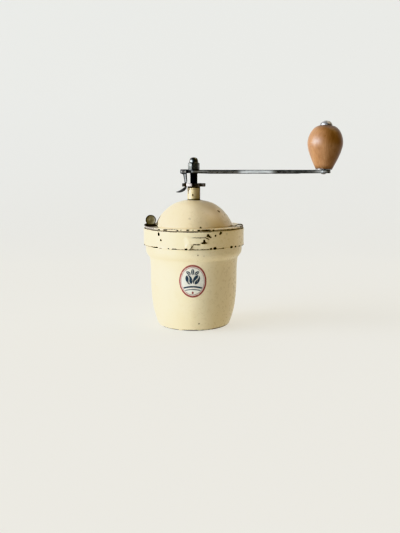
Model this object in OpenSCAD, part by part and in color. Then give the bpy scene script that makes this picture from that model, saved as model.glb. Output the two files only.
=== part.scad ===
// Hand-held coffee mill with an enamelled steel pot, a domed hopper with a
// turning hatch, a flat crank arm and a turned wooden knob.
// Millimetres, +Z up. The origin is the centre of the pot's underside.
// The front (the side with the badge) faces -Y and the crank points along +X.

/* [Pot] */
// Radius of the round foot that the pot stands on
foot_r = 36; // [34:0.5:37]
// Radius of the pot's wall at its widest, below the shoulder
belly_r = 45; // [44.4:0.1:45.6]
// Height where the wall becomes upright
belly_z = 48; // [42:1:54]
// Radius of the upright rim above the shoulder
rim_r = 50; // [49.6:0.1:50.2]
// Height of the rim's top edge
rim_top = 101; // [100.4:0.1:101]
// Thickness of the drawn steel
wall = 0.9; // [0.7:0.05:1]
// Depth of the ring stamped in the underside
stamp_d = 0.8; // [0.4:0.1:1]

/* [Bayonet] */
// Direction of the first stud, in degrees round from +X
stud_az = 265; // [255:1:275]
// Number of studs and pockets
stud_n = 3; // [2:1:3]
// Radius of a stud's outer head
stud_r = 1.9; // [1.6:0.1:2]
// Height of the studs' axes
stud_z = 92.8; // [92.4:0.1:93.2]
// Length of a pocket's level run, along the band
pocket_run = 21.8; // [20:0.2:23]
// Height of a pocket's level run, outside
pocket_h = 6.8; // [6.6:0.1:7.2]
// Width of a pocket's upright entry, outside
entry_w = 6.4; // [6.2:0.1:6.8]
// How far a pocket stands out of the band
pocket_out = 1.2; // [1.1:0.05:1.4]

/* [Collar band and rim] */
// Outer radius of the collar band
band_r = 52; // [51.8:0.1:52.2]
// Height of the band's lower edge
band_lo = 84.3; // [83.8:0.1:85]
// Height of the band's top edge
band_hi = 101.9; // [101.9:0.05:102]
// Upper face of the rim ledge
ledge_z = 104; // [103.9:0.05:104]
// Radius of the hopper's mouth in the ledge
mouth_r = 34; // [33:0.5:35]
// Radius of the rolled bead's section
bead_r = 1.15; // [1:0.05:1.15]

/* [Dome] */
// Radius of the hatch's outer sphere
dome_R = 43.6; // [43.4:0.1:43.8]
// Height of the dome spheres' centre
dome_c = 88.2; // [88:0.1:88.4]
// Thickness of the dome shells
dome_t = 0.8; // [0.6:0.05:0.8]
// Gap between the fixed shell and the hatch
dome_gap = 0.3; // [0.25:0.05:0.35]
// Direction where the hatch's left edge stands, in degrees round from +X
hatch_a0 = 188; // [188:1:198]
// Angle that the hatch covers
hatch_span = 175; // [160:1:176]

/* [Thumb disc] */
// Radius of the thumb disc
disc_r = 5.4; // [4.5:0.1:6]
// Distance of the disc's centre from the mill's axis
disc_x = 44.9; // [44.5:0.1:46]
// Height of the disc's centre
disc_z = 109.3; // [109:0.1:111]

/* [Neck and shaft] */
// Outer radius of the neck tube
neck_r = 6.55; // [6.3:0.05:6.7]
// Height of the neck's top
neck_top = 143.2; // [141:0.1:143.2]
// Radius of the main shaft
shaft_r = 4; // [3.9:0.05:4]
// Radial clearance of the running fits
fit = 0.03; // [0.02:0.01:0.06]

/* [Adjusting nut] */
// Radius of the star plate
star_r = 12.3; // [11:0.1:13]
// Number of notches
star_n = 8; // [8:4:12]
// Width of a notch
star_slot = 3.4; // [3.4:0.1:3.8]
// Underside of the star plate
star_z = 144; // [144:0.1:144.2]
// Thickness of the star plate
star_t = 3.2; // [2.5:0.1:3.2]
// Distance from the axis to the round bottom of a notch, at its centre
star_root = 7.6; // [7.4:0.1:7.7]

/* [Crank] */
// Underside of the crank arm
arm_z = 157.6; // [157.6:0.1:158]
// Thickness of the crank arm
arm_t = 3.4; // [3:0.1:3.6]
// Width of the arm's strip where it leaves the hub
arm_w = 12.4; // [10:0.2:13]
// Distance from the shaft to the knob's spindle
throw = 133.8; // [110:0.2:140]
// Acorn nut, across the flats
nut_af = 12.6; // [12:0.1:13]
// Number of grooves that stand for the shaft's thread
thread_n = 10; // [6:1:10]

/* [Knob] */
// Lean of the knob's spindle away from the mill
lean = 1.4; // [0:0.1:2]
// Largest radius of the wooden knob
knob_r = 18.4; // [16:0.1:20]
// Radius of the knob's foot
knob_foot = 8.9; // [8:0.1:10]
// Length of the wooden knob
knob_l = 43.6; // [40:0.2:48]

/* [Hidden] */
$fn = 96;

cream = "#EAD9B2";
dark_steel = "#3C3A36";
steel = "#8E8C86";
brass = "#B59A5B";
iron = "#55524E";
wood = "#B07A4B";

star_top = star_z + star_t;
arm_top = arm_z + arm_t;
fixed_R = dome_R - dome_t - dome_gap;     // outside of the fixed rear shell
ear_z = ledge_z + 0.4;                    // underside of the hatch's ears
ear_t = 0.7;
pawl_x = -11;                             // pivot of the pawl lever
pawl_z = arm_z + arm_t / 2;
burr_lo = 65.6;
burr_hi = 86;
rivet_c = 35.8;                           // distance of the dome's rivets from the axis

// Points along a cubic curve with four control points
function curve(a, b, c, d, n) =
    [for (i = [0:n]) let (t = i / n, u = 1 - t)
        u * u * u * a + 3 * u * u * t * b + 3 * u * t * t * c + t * t * t * d];
function reversed(v) = [for (i = [len(v) - 1:-1:0]) v[i]];
// Half the width of a sphere of radius R at height z over the dome's centre
function on_dome(R, z) = sqrt(R * R - (z - dome_c) * (z - dome_c));

// A pie-shaped block that covers the directions a0 to a0 + span
module sector(a0, span, r, z0, z1) {
    rotate([0, 0, a0])
        rotate_extrude(angle = span)
            translate([0, z0]) square([r, z1 - z0]);
}

// A flat ring
module ring(r0, r1, z0, z1) {
    rotate_extrude() translate([r0, z0]) square([r1 - r0, z1 - z0]);
}

// Points along an arc
function arc(x, y, r, a0, a1, n) = [for (i = [0:n]) let (a = a0 + (a1 - a0) * i / n) [x + r * cos(a), y + r * sin(a)]];

// ---------------------------------------------------------------- pot

function pot_outside() = concat(
    curve([foot_r - 1.2, 0], [foot_r + 0.6, 0], [foot_r + 1.6, 0.6], [foot_r + 2.2, 2.2], 6),
    curve([foot_r + 2.2, 2.2], [foot_r + 6.4, 14], [belly_r - 0.1, belly_z / 2], [belly_r, belly_z], 14),
    curve([belly_r, 58], [belly_r + 0.1, 65], [belly_r + 0.5, 69], [belly_r + 1.2, 71.6], 6),
    curve([belly_r + 1.4, 71.9], [belly_r + 2.7, 73.3], [rim_r - 0.2, 75.4], [rim_r, 79.5], 9),
    [[rim_r, rim_top - 0.4], [rim_r - 0.25, rim_top]]);

function pot_inside() = concat(
    curve([foot_r - 2.2, wall], [foot_r - 0.4, wall], [foot_r + 0.6, wall + 0.6], [foot_r + 2.4 - wall, 3.4], 6),
    curve([foot_r + 2.5 - wall, 3.8], [foot_r + 6.4 - wall, 14.6], [belly_r - 0.1 - wall, belly_z / 2 + 0.6], [belly_r - wall, belly_z + 0.4], 14),
    curve([belly_r - wall, 58], [belly_r + 0.1 - wall, 65], [belly_r + 0.4 - wall, 69.3], [belly_r + 1.1 - wall, 72], 6),
    curve([belly_r + 1.3 - wall, 72.4], [belly_r + 2.6 - wall, 74], [rim_r - 0.2 - wall, 75.9], [rim_r - wall, 79.8], 9),
    [[rim_r - wall, rim_top - 0.3], [rim_r - wall + 0.15, rim_top]]);

module pot_shell() {
    stamp_out = [[27.8, 0], [26.8, stamp_d], [15.2, stamp_d], [14.2, 0], [0, 0]];
    stamp_in = [[0, wall], [13.8, wall], [14.8, stamp_d + wall], [27.2, stamp_d + wall], [28.2, wall]];
    color(cream) difference() {
        rotate_extrude()
            polygon(concat(stamp_in, pot_inside(), reversed(pot_outside()), stamp_out));
        for (i = [0:stud_n - 1]) rotate([0, 0, stud_az + i * 360 / stud_n])
            translate([rim_r - 4, 0, stud_z]) rotate([0, 90, 0]) cylinder(r = 1.22, h = 8);
    }
}

// Each stud is a rivet through the pot's rim; its outer head runs in a pocket
module bayonet_studs() {
    color(steel) for (i = [0:stud_n - 1]) rotate([0, 0, stud_az + i * 360 / stud_n])
        translate([0, 0, stud_z]) rotate([0, 90, 0]) rotate_extrude()
            polygon([[0, rim_r - wall - 0.8], [1.4, rim_r - wall - 0.8], [1.8, rim_r - wall - 0.4],
                     [1.8, rim_r - wall - 0.05], [1.2, rim_r - wall - 0.05], [1.2, rim_r],
                     [stud_r, rim_r], [stud_r, rim_r + 1.5], [stud_r - 0.4, rim_r + 1.9], [0, rim_r + 1.9]]);
}

// ---------------------------------------------------------------- head

// Outline of a bayonet pocket, along the band and up; in = 0 outside, the metal's thickness inside
module pocket_outline(inset, foot) {
    left = -entry_w / 2 + inset;
    right = pocket_run - entry_w / 2 - inset;
    top = 96.2 - inset;
    low = 96.2 - pocket_h + inset;
    r = 2.6 - inset;
    f = 1.4;
    polygon(concat(
        [[left, foot], [-left, foot]],
        arc(-left + f, low - f, f, 180, 90, 4),
        arc(right - r, low + r, r, -90, 0, 6),
        arc(right - r, top - r, r, 0, 90, 6),
        arc(left + r, top - r, r, 90, 180, 6)));
}

module pocket_block(r0, r1, inset, foot) {
    for (i = [0:stud_n - 1]) rotate([0, 0, stud_az + i * 360 / stud_n]) intersection() {
        ring(r0, r1, foot, 97);
        translate([40, 0, 0]) rotate([90, 0, 90]) linear_extrude(16) pocket_outline(inset, foot);
    }
}

module collar_band() {
    b = band_r;
    color(cream) difference() {
        union() {
            rotate_extrude() polygon([
                [b - 0.9, band_lo], [b + 0.2, band_lo],
                [b + 0.2, band_lo + 0.9], [b, band_lo + 1.3], [b, band_hi - 0.8], [b - 0.25, band_hi - 0.25],
                [b - 0.8, band_hi], [b - 2.4, band_hi], [b - 2.4, band_hi - 0.8], [b - 0.9, band_hi - 0.8]]);
            pocket_block(b - 0.9, b + pocket_out, 0, band_lo);
        }
        pocket_block(b - 2, b + pocket_out - 0.8, 0.8, band_lo - 1);
    }
}

module rim_ledge() {
    color(cream) difference() {
        rotate_extrude() {
            translate([mouth_r, ledge_z - 0.8]) square([50.2 - mouth_r, 0.8]);
            translate([50.2, 103.1]) circle(bead_r);
        }
        for (a = [40, 95, 150]) rotate([0, 0, a]) translate([rivet_c, 0, 100]) cylinder(r = 1.12, h = 8);
    }
}

module hopper_funnel() {
    color(steel) rotate_extrude() polygon([
        [40, 102], [40, 102.8], [mouth_r - 0.8, 102.8], [23.1, burr_hi + 2.4], [23.1, burr_hi - 6],
        [23.9, burr_hi - 6], [23.9, burr_hi + 2.1], [mouth_r - 0.2, 102]]);
}

module dome_shell(R, t, z0) {
    intersection() {
        translate([0, 0, dome_c]) difference() {
            sphere(R);
            sphere(R - t);
        }
        translate([0, 0, z0]) cylinder(r = 60, h = 40);
    }
}

module rear_dome() {
    color(cream) difference() {
        union() {
            intersection() {
                dome_shell(fixed_R, dome_t, ledge_z);
                union() {
                    sector(-14, hatch_a0 + 8 + 14, 60, ledge_z - 1, 140);
                    translate([0, 0, 120]) cylinder(r = 12.5, h = 20);
                }
            }
            // tabs that are riveted to the ledge, inside the hopper
            for (a = [40, 95, 150]) rotate([0, 0, a]) intersection() {
                translate([34.4, -4, ledge_z]) cube([5, 8, 0.8]);
                cylinder(r = on_dome(fixed_R - 0.3, ledge_z + 0.8), h = 140);
            }
        }
        cylinder(r = neck_r + 0.02, h = 200);
        for (a = [40, 95, 150]) rotate([0, 0, a]) translate([rivet_c, 0, 100]) cylinder(r = 1.12, h = 8);
    }
}

module dome_rivets() {
    color(steel) for (a = [40, 95, 150]) rotate([0, 0, a]) translate([rivet_c, 0, 0])
        rotate_extrude() polygon([
            [0, ledge_z - 1.15], [1.6, ledge_z - 1.15], [1.6, ledge_z - 0.82], [1.1, ledge_z - 0.82],
            [1.1, ledge_z + 0.82], [1.7, ledge_z + 0.82], [1.6, ledge_z + 1.15], [1.1, ledge_z + 1.5], [0, ledge_z + 1.6]]);
}

module neck_tube() {
    color(cream) rotate_extrude() polygon([
        [5.42, 127.9], [9, 127.9], [9, 128.7], [neck_r, 128.7], [neck_r, neck_top - 0.3],
        [neck_r - 0.3, neck_top], [5.42, neck_top]]);
}

module upper_bush() {
    color(brass) rotate_extrude() polygon([
        [shaft_r + fit, 127], [7.5, 127], [7.5, 127.8], [5.4, 127.8], [5.4, neck_top], [shaft_r + fit, neck_top]]);
}

module outer_burr() {
    color(iron) difference() {
        rotate_extrude() polygon([
            [16.3, burr_lo], [22.5, burr_lo], [22.5, burr_hi - 0.6], [21.9, burr_hi], [18.7, burr_hi], [16.3, burr_lo + 2.4]]);
        for (i = [0:23]) rotate([0, 0, i * 15]) translate([17.3, 0, (burr_lo + burr_hi) / 2])
            rotate([20, 0, 0]) rotate([0, 6, 0]) rotate([0, 0, 45]) cube([1.4, 1.4, 30], center = true);
        for (a = [0, 180]) rotate([0, 0, a]) translate([20.4, 0, burr_lo - 1]) cylinder(r = 1.22, h = 12);
    }
}

module lower_bridge() {
    color(steel) difference() {
        union() {
            intersection() {
                translate([-23, -5, burr_lo - 3]) cube([46, 10, 3]);
                translate([0, 0, burr_lo - 4]) cylinder(r = 22.5, h = 5);
            }
            translate([0, 0, burr_lo - 3]) cylinder(r = 8.5, h = 3);
        }
        translate([0, 0, 50]) cylinder(r = 5.02, h = 30);
        for (a = [0, 180]) rotate([0, 0, a]) translate([20.4, 0, 50]) cylinder(r = 1.25, h = 30);
    }
}

module lower_bush() {
    color(brass) rotate_extrude() polygon([
        [3.5 + fit, burr_lo - 5], [6.6, burr_lo - 5], [6.6, burr_lo - 3.05], [5, burr_lo - 3.05],
        [5, burr_lo], [3.5 + fit, burr_lo]]);
}

module bridge_screws() {
    color(dark_steel) for (a = [0, 180]) rotate([0, 0, a]) translate([20.4, 0, 0]) difference() {
        union() {
            translate([0, 0, burr_lo - 5]) cylinder(r = 2.1, h = 1.95);
            translate([0, 0, burr_lo - 5]) cylinder(r = 1.2, h = 14);
        }
        translate([-3, -0.35, burr_lo - 5.5]) cube([6, 0.7, 1.2]);
    }
}

// ---------------------------------------------------------------- hatch

// Section of an ear: it lies over the ledge, and its end is curled over the bead
module ear_section() {
    translate([39.8, ear_z]) square([8.9, ear_t]);
    translate([50.2, 103.2]) intersection() {
        difference() {
            circle(2.2);
            circle(1.5);
        }
        polygon([[-1.75, 1.2], [-1.75, 3], [3, 3], [3, -0.9], [1, -0.9], [1, 0], [-0.6, 1.2]]);
    }
}

module front_hatch() {
    top_r = 13.5;
    color(cream) difference() {
        union() {
            intersection() {
                dome_shell(dome_R, dome_t, ear_z);
                union() {
                    sector(hatch_a0, hatch_span, 60, 100, 140);
                    translate([0, 0, 120]) cylinder(r = top_r, h = 20);
                }
            }
            // left ear, right ear
            difference() {
                union() {
                    rotate([0, 0, 173]) rotate_extrude(angle = 28) ear_section();
                    rotate([0, 0, -4.2]) rotate_extrude(angle = 8.4) ear_section();
                }
                translate([0, 0, dome_c]) sphere(dome_R - 0.4);
            }
            // upright tab behind the thumb disc
            translate([-disc_x, 0, 0]) {
                translate([-4, 0.7, ear_z + 0.2]) cube([8, 0.8, disc_z - ear_z - 0.2]);
                translate([0, 1.5, disc_z]) rotate([90, 0, 0]) cylinder(r = 4, h = 0.8);
            }
        }
        cylinder(r = neck_r + 0.35, h = 200);
        translate([-disc_x, 5, disc_z]) rotate([90, 0, 0]) cylinder(r = 1.02, h = 10);
    }
}

module thumb_disc() {
    color(brass) difference() {
        translate([-disc_x, 0.68, disc_z]) rotate([90, 0, 0]) rotate_extrude() polygon([
            [1.02, 0], [disc_r - 0.3, 0], [disc_r, 0.3], [disc_r, 1.5], [disc_r - 0.3, 1.8], [disc_r - 0.7, 1.75],
            [disc_r - 1.1, 1.35], [disc_r - 2, 1.0], [2.2, 0.8], [1.02, 0.8]]);
        translate([-60, -10, 90]) cube([30, 20, ear_z + ear_t + 0.05 - 90]);
    }
}

module disc_rivet() {
    color(steel) translate([-disc_x, 1.5, disc_z]) rotate([90, 0, 0]) rotate_extrude() polygon([
        [0, -0.9], [0.9, -0.8], [1.6, -0.4], [1.7, -0.02], [1, -0.02], [1, 1.64], [1.5, 1.64], [1.4, 1.95], [0.8, 2.15], [0, 2.2]]);
}

// ---------------------------------------------------------------- shaft and crank

// Upright notches cut round a section, as a thread's flanks
function thread_edge(r, z0, n, pitch, depth) = [for (i = [0:n - 1], k = [0:2])
    let (z = z0 + i * pitch) k == 0 ? [r, z] : k == 1 ? [r - depth, z + pitch * 0.46] : [r, z + pitch * 0.92]];

module main_shaft() {
    s = shaft_r;
    color(dark_steel) difference() {
        union() {
            rotate_extrude() polygon(concat(
                [[0, 58], [3, 58], [3.5, 58.5], [3.5, burr_lo + 1.2], [s, burr_lo + 1.3]],
                thread_edge(s, star_z + 0.3, thread_n, 1.25, 0.55),
                [[s, arm_z - 0.05], [0, arm_z - 0.05]]));
            intersection() {
                translate([-3, -3, arm_z - 0.5]) cube([6, 6, arm_t + 0.5]);
                cylinder(r = s - 0.1, h = 200);
            }
            rotate_extrude() polygon(concat(
                [[0, arm_z]], [[3, arm_z]],
                thread_edge(3, arm_top + 0.6, 6, 1, 0.4),
                [[3, arm_top + 7.4], [2.4, arm_top + 8], [0, arm_top + 8]]));
        }
        translate([-20, 0, 82]) rotate([0, 90, 0]) cylinder(r = 1.22, h = 40);
        translate([-20, 0, 110.9]) rotate([0, 90, 0]) cylinder(r = 1.02, h = 40);
    }
}

module inner_burr() {
    lo = burr_lo + 1.2;
    color(iron) difference() {
        rotate_extrude() polygon([
            [shaft_r + fit, lo], [15.4, lo], [15.9, lo + 0.5], [15.9, lo + 1.4], [7.2, 84.4], [7.2, 86], [shaft_r + fit, 86]]);
        for (i = [0:15]) rotate([0, 0, i * 22.5]) translate([11.9, 0, 76])
            rotate([0, -28, 0]) rotate([25, 0, 0]) rotate([0, 0, 45]) cube([2, 2, 30], center = true);
        translate([-20, 0, 82]) rotate([0, 90, 0]) cylinder(r = 1.22, h = 40);
    }
}

module burr_pin() {
    color(steel) translate([-6.6, 0, 82]) rotate([0, 90, 0]) cylinder(r = 1.2, h = 13.2);
}

// Coil spring round the shaft, swept as one closed tube
spring_lo = 113.2;
spring_hi = 125.5;
spring_r = 5.5;
wire_r = 0.6;
coils = 6;
module shaft_spring() {
    steps = 20;
    sides = 6;
    n = coils * steps;
    pts = [for (i = [0:n], k = [0:sides - 1])
        let (a = i * 360 / steps, b = k * 360 / sides,
             z = spring_lo + wire_r + (spring_hi - spring_lo - 2 * wire_r) * i / n,
             r = spring_r + wire_r * cos(b))
        [r * cos(a), r * sin(a), z + wire_r * sin(b)]];
    sides_f = [for (i = [0:n - 1], k = [0:sides - 1])
        let (a = i * sides + k, b = i * sides + (k + 1) % sides)
        [a, a + sides, b + sides, b]];
    ends = [[for (k = [0:sides - 1]) k], [for (k = [sides - 1:-1:0]) n * sides + k]];
    color(steel) polyhedron(points = pts, faces = concat(sides_f, ends), convexity = 10);
}

module spring_seats() {
    color(steel) {
        ring(shaft_r + fit, 7, 112.1, 113.1);
        ring(shaft_r + fit, 7, 125.7, 126.6);
    }
}

module spring_pin() {
    color(steel) translate([-6.2, 0, 110.9]) rotate([0, 90, 0]) cylinder(r = 1, h = 12.4);
}

module thrust_washer() {
    color(steel) ring(shaft_r + 0.1, 6.4, neck_top + 0.08, star_z - 0.05);
}

module adjusting_nut() {
    color(dark_steel) difference() {
        rotate_extrude() polygon([
            [shaft_r + fit, star_z], [star_r - 0.4, star_z], [star_r, star_z + 0.4],
            [star_r, star_top - 0.5], [star_r - 0.5, star_top], [shaft_r + fit, star_top]]);
        for (i = [0:star_n - 1]) rotate([0, 0, i * 360 / star_n]) {
            translate([star_root, -star_slot / 2, star_z - 1]) cube([8, star_slot, 6]);
            translate([star_root, 0, star_z - 1]) cylinder(r = star_slot / 2, h = 6);
        }
    }
}

module crank_arm() {
    color(dark_steel) difference() {
        translate([0, 0, arm_z]) linear_extrude(arm_t) {
            circle(r = 7.6);
            polygon([[0, -arm_w / 2], [throw - 24, -arm_w / 2 + 1.4], [throw, -6.2],
                     [throw, 6.2], [throw - 24, arm_w / 2 - 1.4], [0, arm_w / 2]]);
            translate([throw, 0]) circle(r = 6.9);
            translate([pawl_x, -3.4]) square([11, 6.8]);
        }
        // the arm's left end is rounded about the pawl's pivot
        difference() {
            translate([pawl_x - 6, -5, arm_z - 1]) cube([6, 10, arm_t + 2]);
            translate([pawl_x, 10, pawl_z]) rotate([90, 0, 0]) cylinder(r = 1.7, h = 20);
        }
        intersection() {
            translate([-3.03, -3.03, arm_z - 1]) cube([6.06, 6.06, arm_t + 2]);
            cylinder(r = shaft_r - 0.05, h = 200);
        }
        translate([pawl_x, 10, pawl_z]) rotate([90, 0, 0]) cylinder(r = 0.82, h = 20);
        spindle_frame() translate([0, 0, -9]) cylinder(r = 1.95, h = 14);
    }
}

module acorn_nut() {
    z0 = arm_top + 0.5;
    color(steel) difference() {
        union() {
            intersection() {
                translate([0, 0, z0]) rotate([0, 0, 15]) cylinder(r = nut_af / 2 / cos(30), h = 7.4, $fn = 6);
                rotate_extrude() polygon([[0, z0], [6.6, z0], [7.3, z0 + 0.6], [7.3, z0 + 6.6], [5.6, z0 + 7.4], [0, z0 + 7.4]]);
            }
            rotate_extrude() polygon(concat(
                [[0, z0 + 7]], [[4.9, z0 + 7]],
                curve([4.9, z0 + 7.4], [4.7, z0 + 10.4], [3.2, z0 + 12.3], [0, z0 + 12.5], 10)));
        }
        translate([0, 0, z0 - 1]) cylinder(r = 3.03, h = 9.2);
    }
}

// Frame of the knob's spindle: it starts on the arm's upper face and leans away
module spindle_frame() {
    translate([throw, 0, arm_top]) rotate([0, lean, 0]) children();
}

module knob_spindle() {
    top = knob_l + 1.3;
    color(steel) spindle_frame() rotate_extrude() polygon(concat(
        [[0, -arm_t - 1.3], [1.4, -arm_t - 1.2], [2.4, -arm_t - 0.7], [2.7, -arm_t - 0.15], [1.9, -arm_t - 0.15],
         [1.9, 0.1], [3, 0.1], [3, top], [6.2, top], [6.25, top + 0.5]],
        curve([6.1, top + 0.8], [5.5, top + 2.6], [3.6, top + 4.5], [0, top + 4.6], 9)));
}

module knob_washer() {
    color(dark_steel) spindle_frame() ring(3.1, 7.6, 0.25, 0.75);
}

module pawl_pin() {
    color(steel) translate([pawl_x, 0, pawl_z]) rotate([90, 0, 0]) rotate_extrude() polygon([
        [0, -5.2], [1.2, -5.2], [1.4, -4.9], [1.4, -4.7], [0.8, -4.7], [0.8, 4.7], [1.4, 4.7], [1.4, 4.9], [1.2, 5.2], [0, 5.2]]);
}

// Leaf that lies under the acorn nut and presses on the lever's outer end
module pawl_spring() {
    color(steel) difference() {
        union() {
            translate([0, 0, arm_top + 0.02]) cylinder(r = 6, h = 0.43);
            translate([-13.7, -2.6, arm_top + 0.02]) cube([13.7, 5.2, 0.43]);
        }
        cylinder(r = 3.05, h = 200);
    }
}

// ---------------------------------------------------------------- pawl

module side_view(w, y = 0) {
    translate([0, y + w / 2, 0]) rotate([90, 0, 0]) linear_extrude(w) children();
}

module pawl_lever() {
    px = pawl_x;
    knee = 149.6;
    color(steel) difference() {
        union() {
            // two cheeks beside the arm
            for (y = [-4.15, 4.15]) side_view(0.8, y) {
                polygon([[px - 2.8, 157.4], [px - 2.8, arm_top - 0.5], [px - 2.3, arm_top], [px + 3.2, arm_top],
                         [px + 3.7, arm_top - 0.5], [px + 3.8, 156], [px + 4.1, knee], [px + 1.3, knee],
                         [px + 0.2, 156.2], [px - 1.6, 157]]);
            }
            // outer end, back web and the shoulder under the arm
            side_view(9.1) polygon([[px - 2.8, 157.4], [px - 2.1, 157.4], [px - 2.1, arm_top - 0.05], [px - 2.4, arm_top - 0.05], [px - 2.8, arm_top - 0.5]]);
            side_view(9.1) polygon([[px + 0.2, 156.2], [px + 1.1, 156.2], [px + 2.2, knee], [px + 1.3, knee]]);
            side_view(9.1) polygon([[px + 1.3, knee], [px + 1.45, knee - 1], [px + 4.1, knee - 1], [px + 4.1, knee]]);
            // tongue through the nut's notch
            side_view(2.8) polygon([[px + 1.4, knee - 0.5], [px + 3.75, knee - 0.5], [px + 3.75, 143.2], [px + 1.9, 143.2]]);
            // curled thumb tail
            side_view(5.2) polygon(concat(
                curve([px + 3.75, 143.4], [px + 3.4, 140.2], [px - 1.4, 136.5], [px - 7.2, 138.1], 8),
                [[px - 7.3, 138.45]],
                curve([px - 7.0, 138.65], [px - 4.5, 139.2], [px - 1, 141.3], [px + 1, 143.2], 8),
                [[px + 1.9, 143.4]]));
        }
        translate([px, 10, pawl_z]) rotate([90, 0, 0]) cylinder(r = 0.83, h = 20);
    }
}

// ---------------------------------------------------------------- knob

module wooden_knob() {
    f = knob_foot;
    k = knob_r;
    l = knob_l;
    color(wood) spindle_frame() translate([0, 0, 1]) rotate_extrude() polygon(concat(
        [[3.92, 0], [f - 0.5, 0], [f - 0.1, 0.2]],
        curve([f, 0.6], [f + 3.3, l * 0.15], [k, l * 0.428], [k, l * 0.587], 16),
        curve([k, l * 0.6], [k, l * 0.75], [k - 4.2, l * 0.98], [6.4, l], 14),
        [[3.92, l]]));
}

module knob_liner() {
    color(brass) spindle_frame() ring(3.06, 3.9, 1.05, knob_l + 0.95);
}

pot_shell();
bayonet_studs();
hopper_funnel();
collar_band();
rim_ledge();
rear_dome();
dome_rivets();
neck_tube();
upper_bush();
outer_burr();
lower_bridge();
lower_bush();
bridge_screws();
front_hatch();
thumb_disc();
disc_rivet();
main_shaft();
inner_burr();
burr_pin();
shaft_spring();
spring_seats();
spring_pin();
thrust_washer();
adjusting_nut();
crank_arm();
acorn_nut();
knob_spindle();
knob_washer();
pawl_pin();
pawl_spring();
pawl_lever();
wooden_knob();
knob_liner();
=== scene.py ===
import math
import random

import bmesh
import bpy
import numpy as np
from mathutils import Matrix, Vector, noise


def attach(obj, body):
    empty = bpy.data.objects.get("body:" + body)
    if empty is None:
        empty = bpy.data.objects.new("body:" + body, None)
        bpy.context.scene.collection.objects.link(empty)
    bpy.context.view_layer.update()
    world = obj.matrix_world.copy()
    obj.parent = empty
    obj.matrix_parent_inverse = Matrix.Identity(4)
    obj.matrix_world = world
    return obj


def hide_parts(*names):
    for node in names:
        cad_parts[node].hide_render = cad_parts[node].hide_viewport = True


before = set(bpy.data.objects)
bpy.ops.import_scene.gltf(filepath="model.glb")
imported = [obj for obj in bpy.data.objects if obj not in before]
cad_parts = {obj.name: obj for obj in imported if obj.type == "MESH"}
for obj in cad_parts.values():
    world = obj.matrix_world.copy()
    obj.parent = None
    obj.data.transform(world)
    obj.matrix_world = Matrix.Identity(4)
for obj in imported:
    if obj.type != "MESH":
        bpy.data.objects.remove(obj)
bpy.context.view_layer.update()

MM = 0.001
PI = math.pi
TAU = 2 * PI

# The shapes below are in millimetres, in the mill's own frame; they become metres when a mesh is made.

# ------------------------------------------------------------------ profiles


def bez(a, b, c, d, n):
    out = []
    for i in range(n + 1):
        t = i / n
        u = 1 - t
        out.append(tuple(u ** 3 * a[k] + 3 * u * u * t * b[k] + 3 * u * t * t * c[k] + t ** 3 * d[k] for k in (0, 1)))
    return out


def arc(cx, cy, r, a0, a1, n):
    return [(cx + r * math.cos(math.radians(a0 + (a1 - a0) * i / n)), cy + r * math.sin(math.radians(a0 + (a1 - a0) * i / n))) for i in range(n + 1)]


def rounded(pts, rad, seg=4, closed=True):
    """The polygon with its corners rounded; rad is one radius or one for each corner."""
    n = len(pts)
    out = []
    for i, p in enumerate(pts):
        r = rad[i] if isinstance(rad, (list, tuple)) else rad
        if r <= 0 or (not closed and i in (0, n - 1)):
            out.append(tuple(p))
            continue
        a, b = pts[i - 1], pts[(i + 1) % n]
        u = Vector((a[0] - p[0], a[1] - p[1]))
        v = Vector((b[0] - p[0], b[1] - p[1]))
        lu, lv = u.length, v.length
        if lu < 1e-9 or lv < 1e-9:
            out.append(tuple(p))
            continue
        u /= lu
        v /= lv
        th = math.acos(max(-1, min(1, u.dot(v))))
        if th > PI - 0.02 or th < 0.02:
            out.append(tuple(p))
            continue
        t = min(r / math.tan(th / 2), 0.48 * lu, 0.48 * lv)
        rr = t * math.tan(th / 2)
        m = (u + v).normalized() * (rr / math.sin(th / 2))
        c = Vector(p) + m
        p0, p1 = Vector(p) + u * t, Vector(p) + v * t
        a0 = math.atan2(p0.y - c.y, p0.x - c.x)
        a1 = math.atan2(p1.y - c.y, p1.x - c.x)
        da = (a1 - a0 + PI) % TAU - PI
        for k in range(seg + 1):
            a_ = a0 + da * k / seg
            out.append((c.x + rr * math.cos(a_), c.y + rr * math.sin(a_)))
    return out


def dense(pts, step, closed=True):
    """The same outline with no stretch longer than step."""
    out = []
    n = len(pts)
    for i in range(n if closed else n - 1):
        a, b = pts[i], pts[(i + 1) % n]
        k = max(1, int(math.ceil(math.dist(a, b) / step)))
        for j in range(k):
            out.append((a[0] + (b[0] - a[0]) * j / k, a[1] + (b[1] - a[1]) * j / k))
    if not closed:
        out.append(tuple(pts[-1]))
    return out


def sstep(a, b, x):
    t = np.clip((x - a) / (b - a), 0, 1)
    return t * t * (3 - 2 * t)


def poly_sdf(poly, U, V):
    """Signed distance from a closed polygon, negative inside, for arrays U and V."""
    d = np.full(U.shape, 1e18)
    inside = np.zeros(U.shape, bool)
    n = len(poly)
    for i in range(n):
        x0, y0 = poly[i]
        x1, y1 = poly[(i + 1) % n]
        ex, ey = x1 - x0, y1 - y0
        L = ex * ex + ey * ey
        if L < 1e-12:
            continue
        t = np.clip(((U - x0) * ex + (V - y0) * ey) / L, 0, 1)
        d = np.minimum(d, (U - x0 - t * ex) ** 2 + (V - y0 - t * ey) ** 2)
        cond = (y0 > V) != (y1 > V)
        with np.errstate(divide="ignore", invalid="ignore"):
            xi = x0 + (V - y0) * ex / (ey if ey else 1e-12)
        inside ^= cond & (U < xi)
    d = np.sqrt(d)
    return np.where(inside, -d, d)


# ------------------------------------------------------------------ meshes


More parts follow.
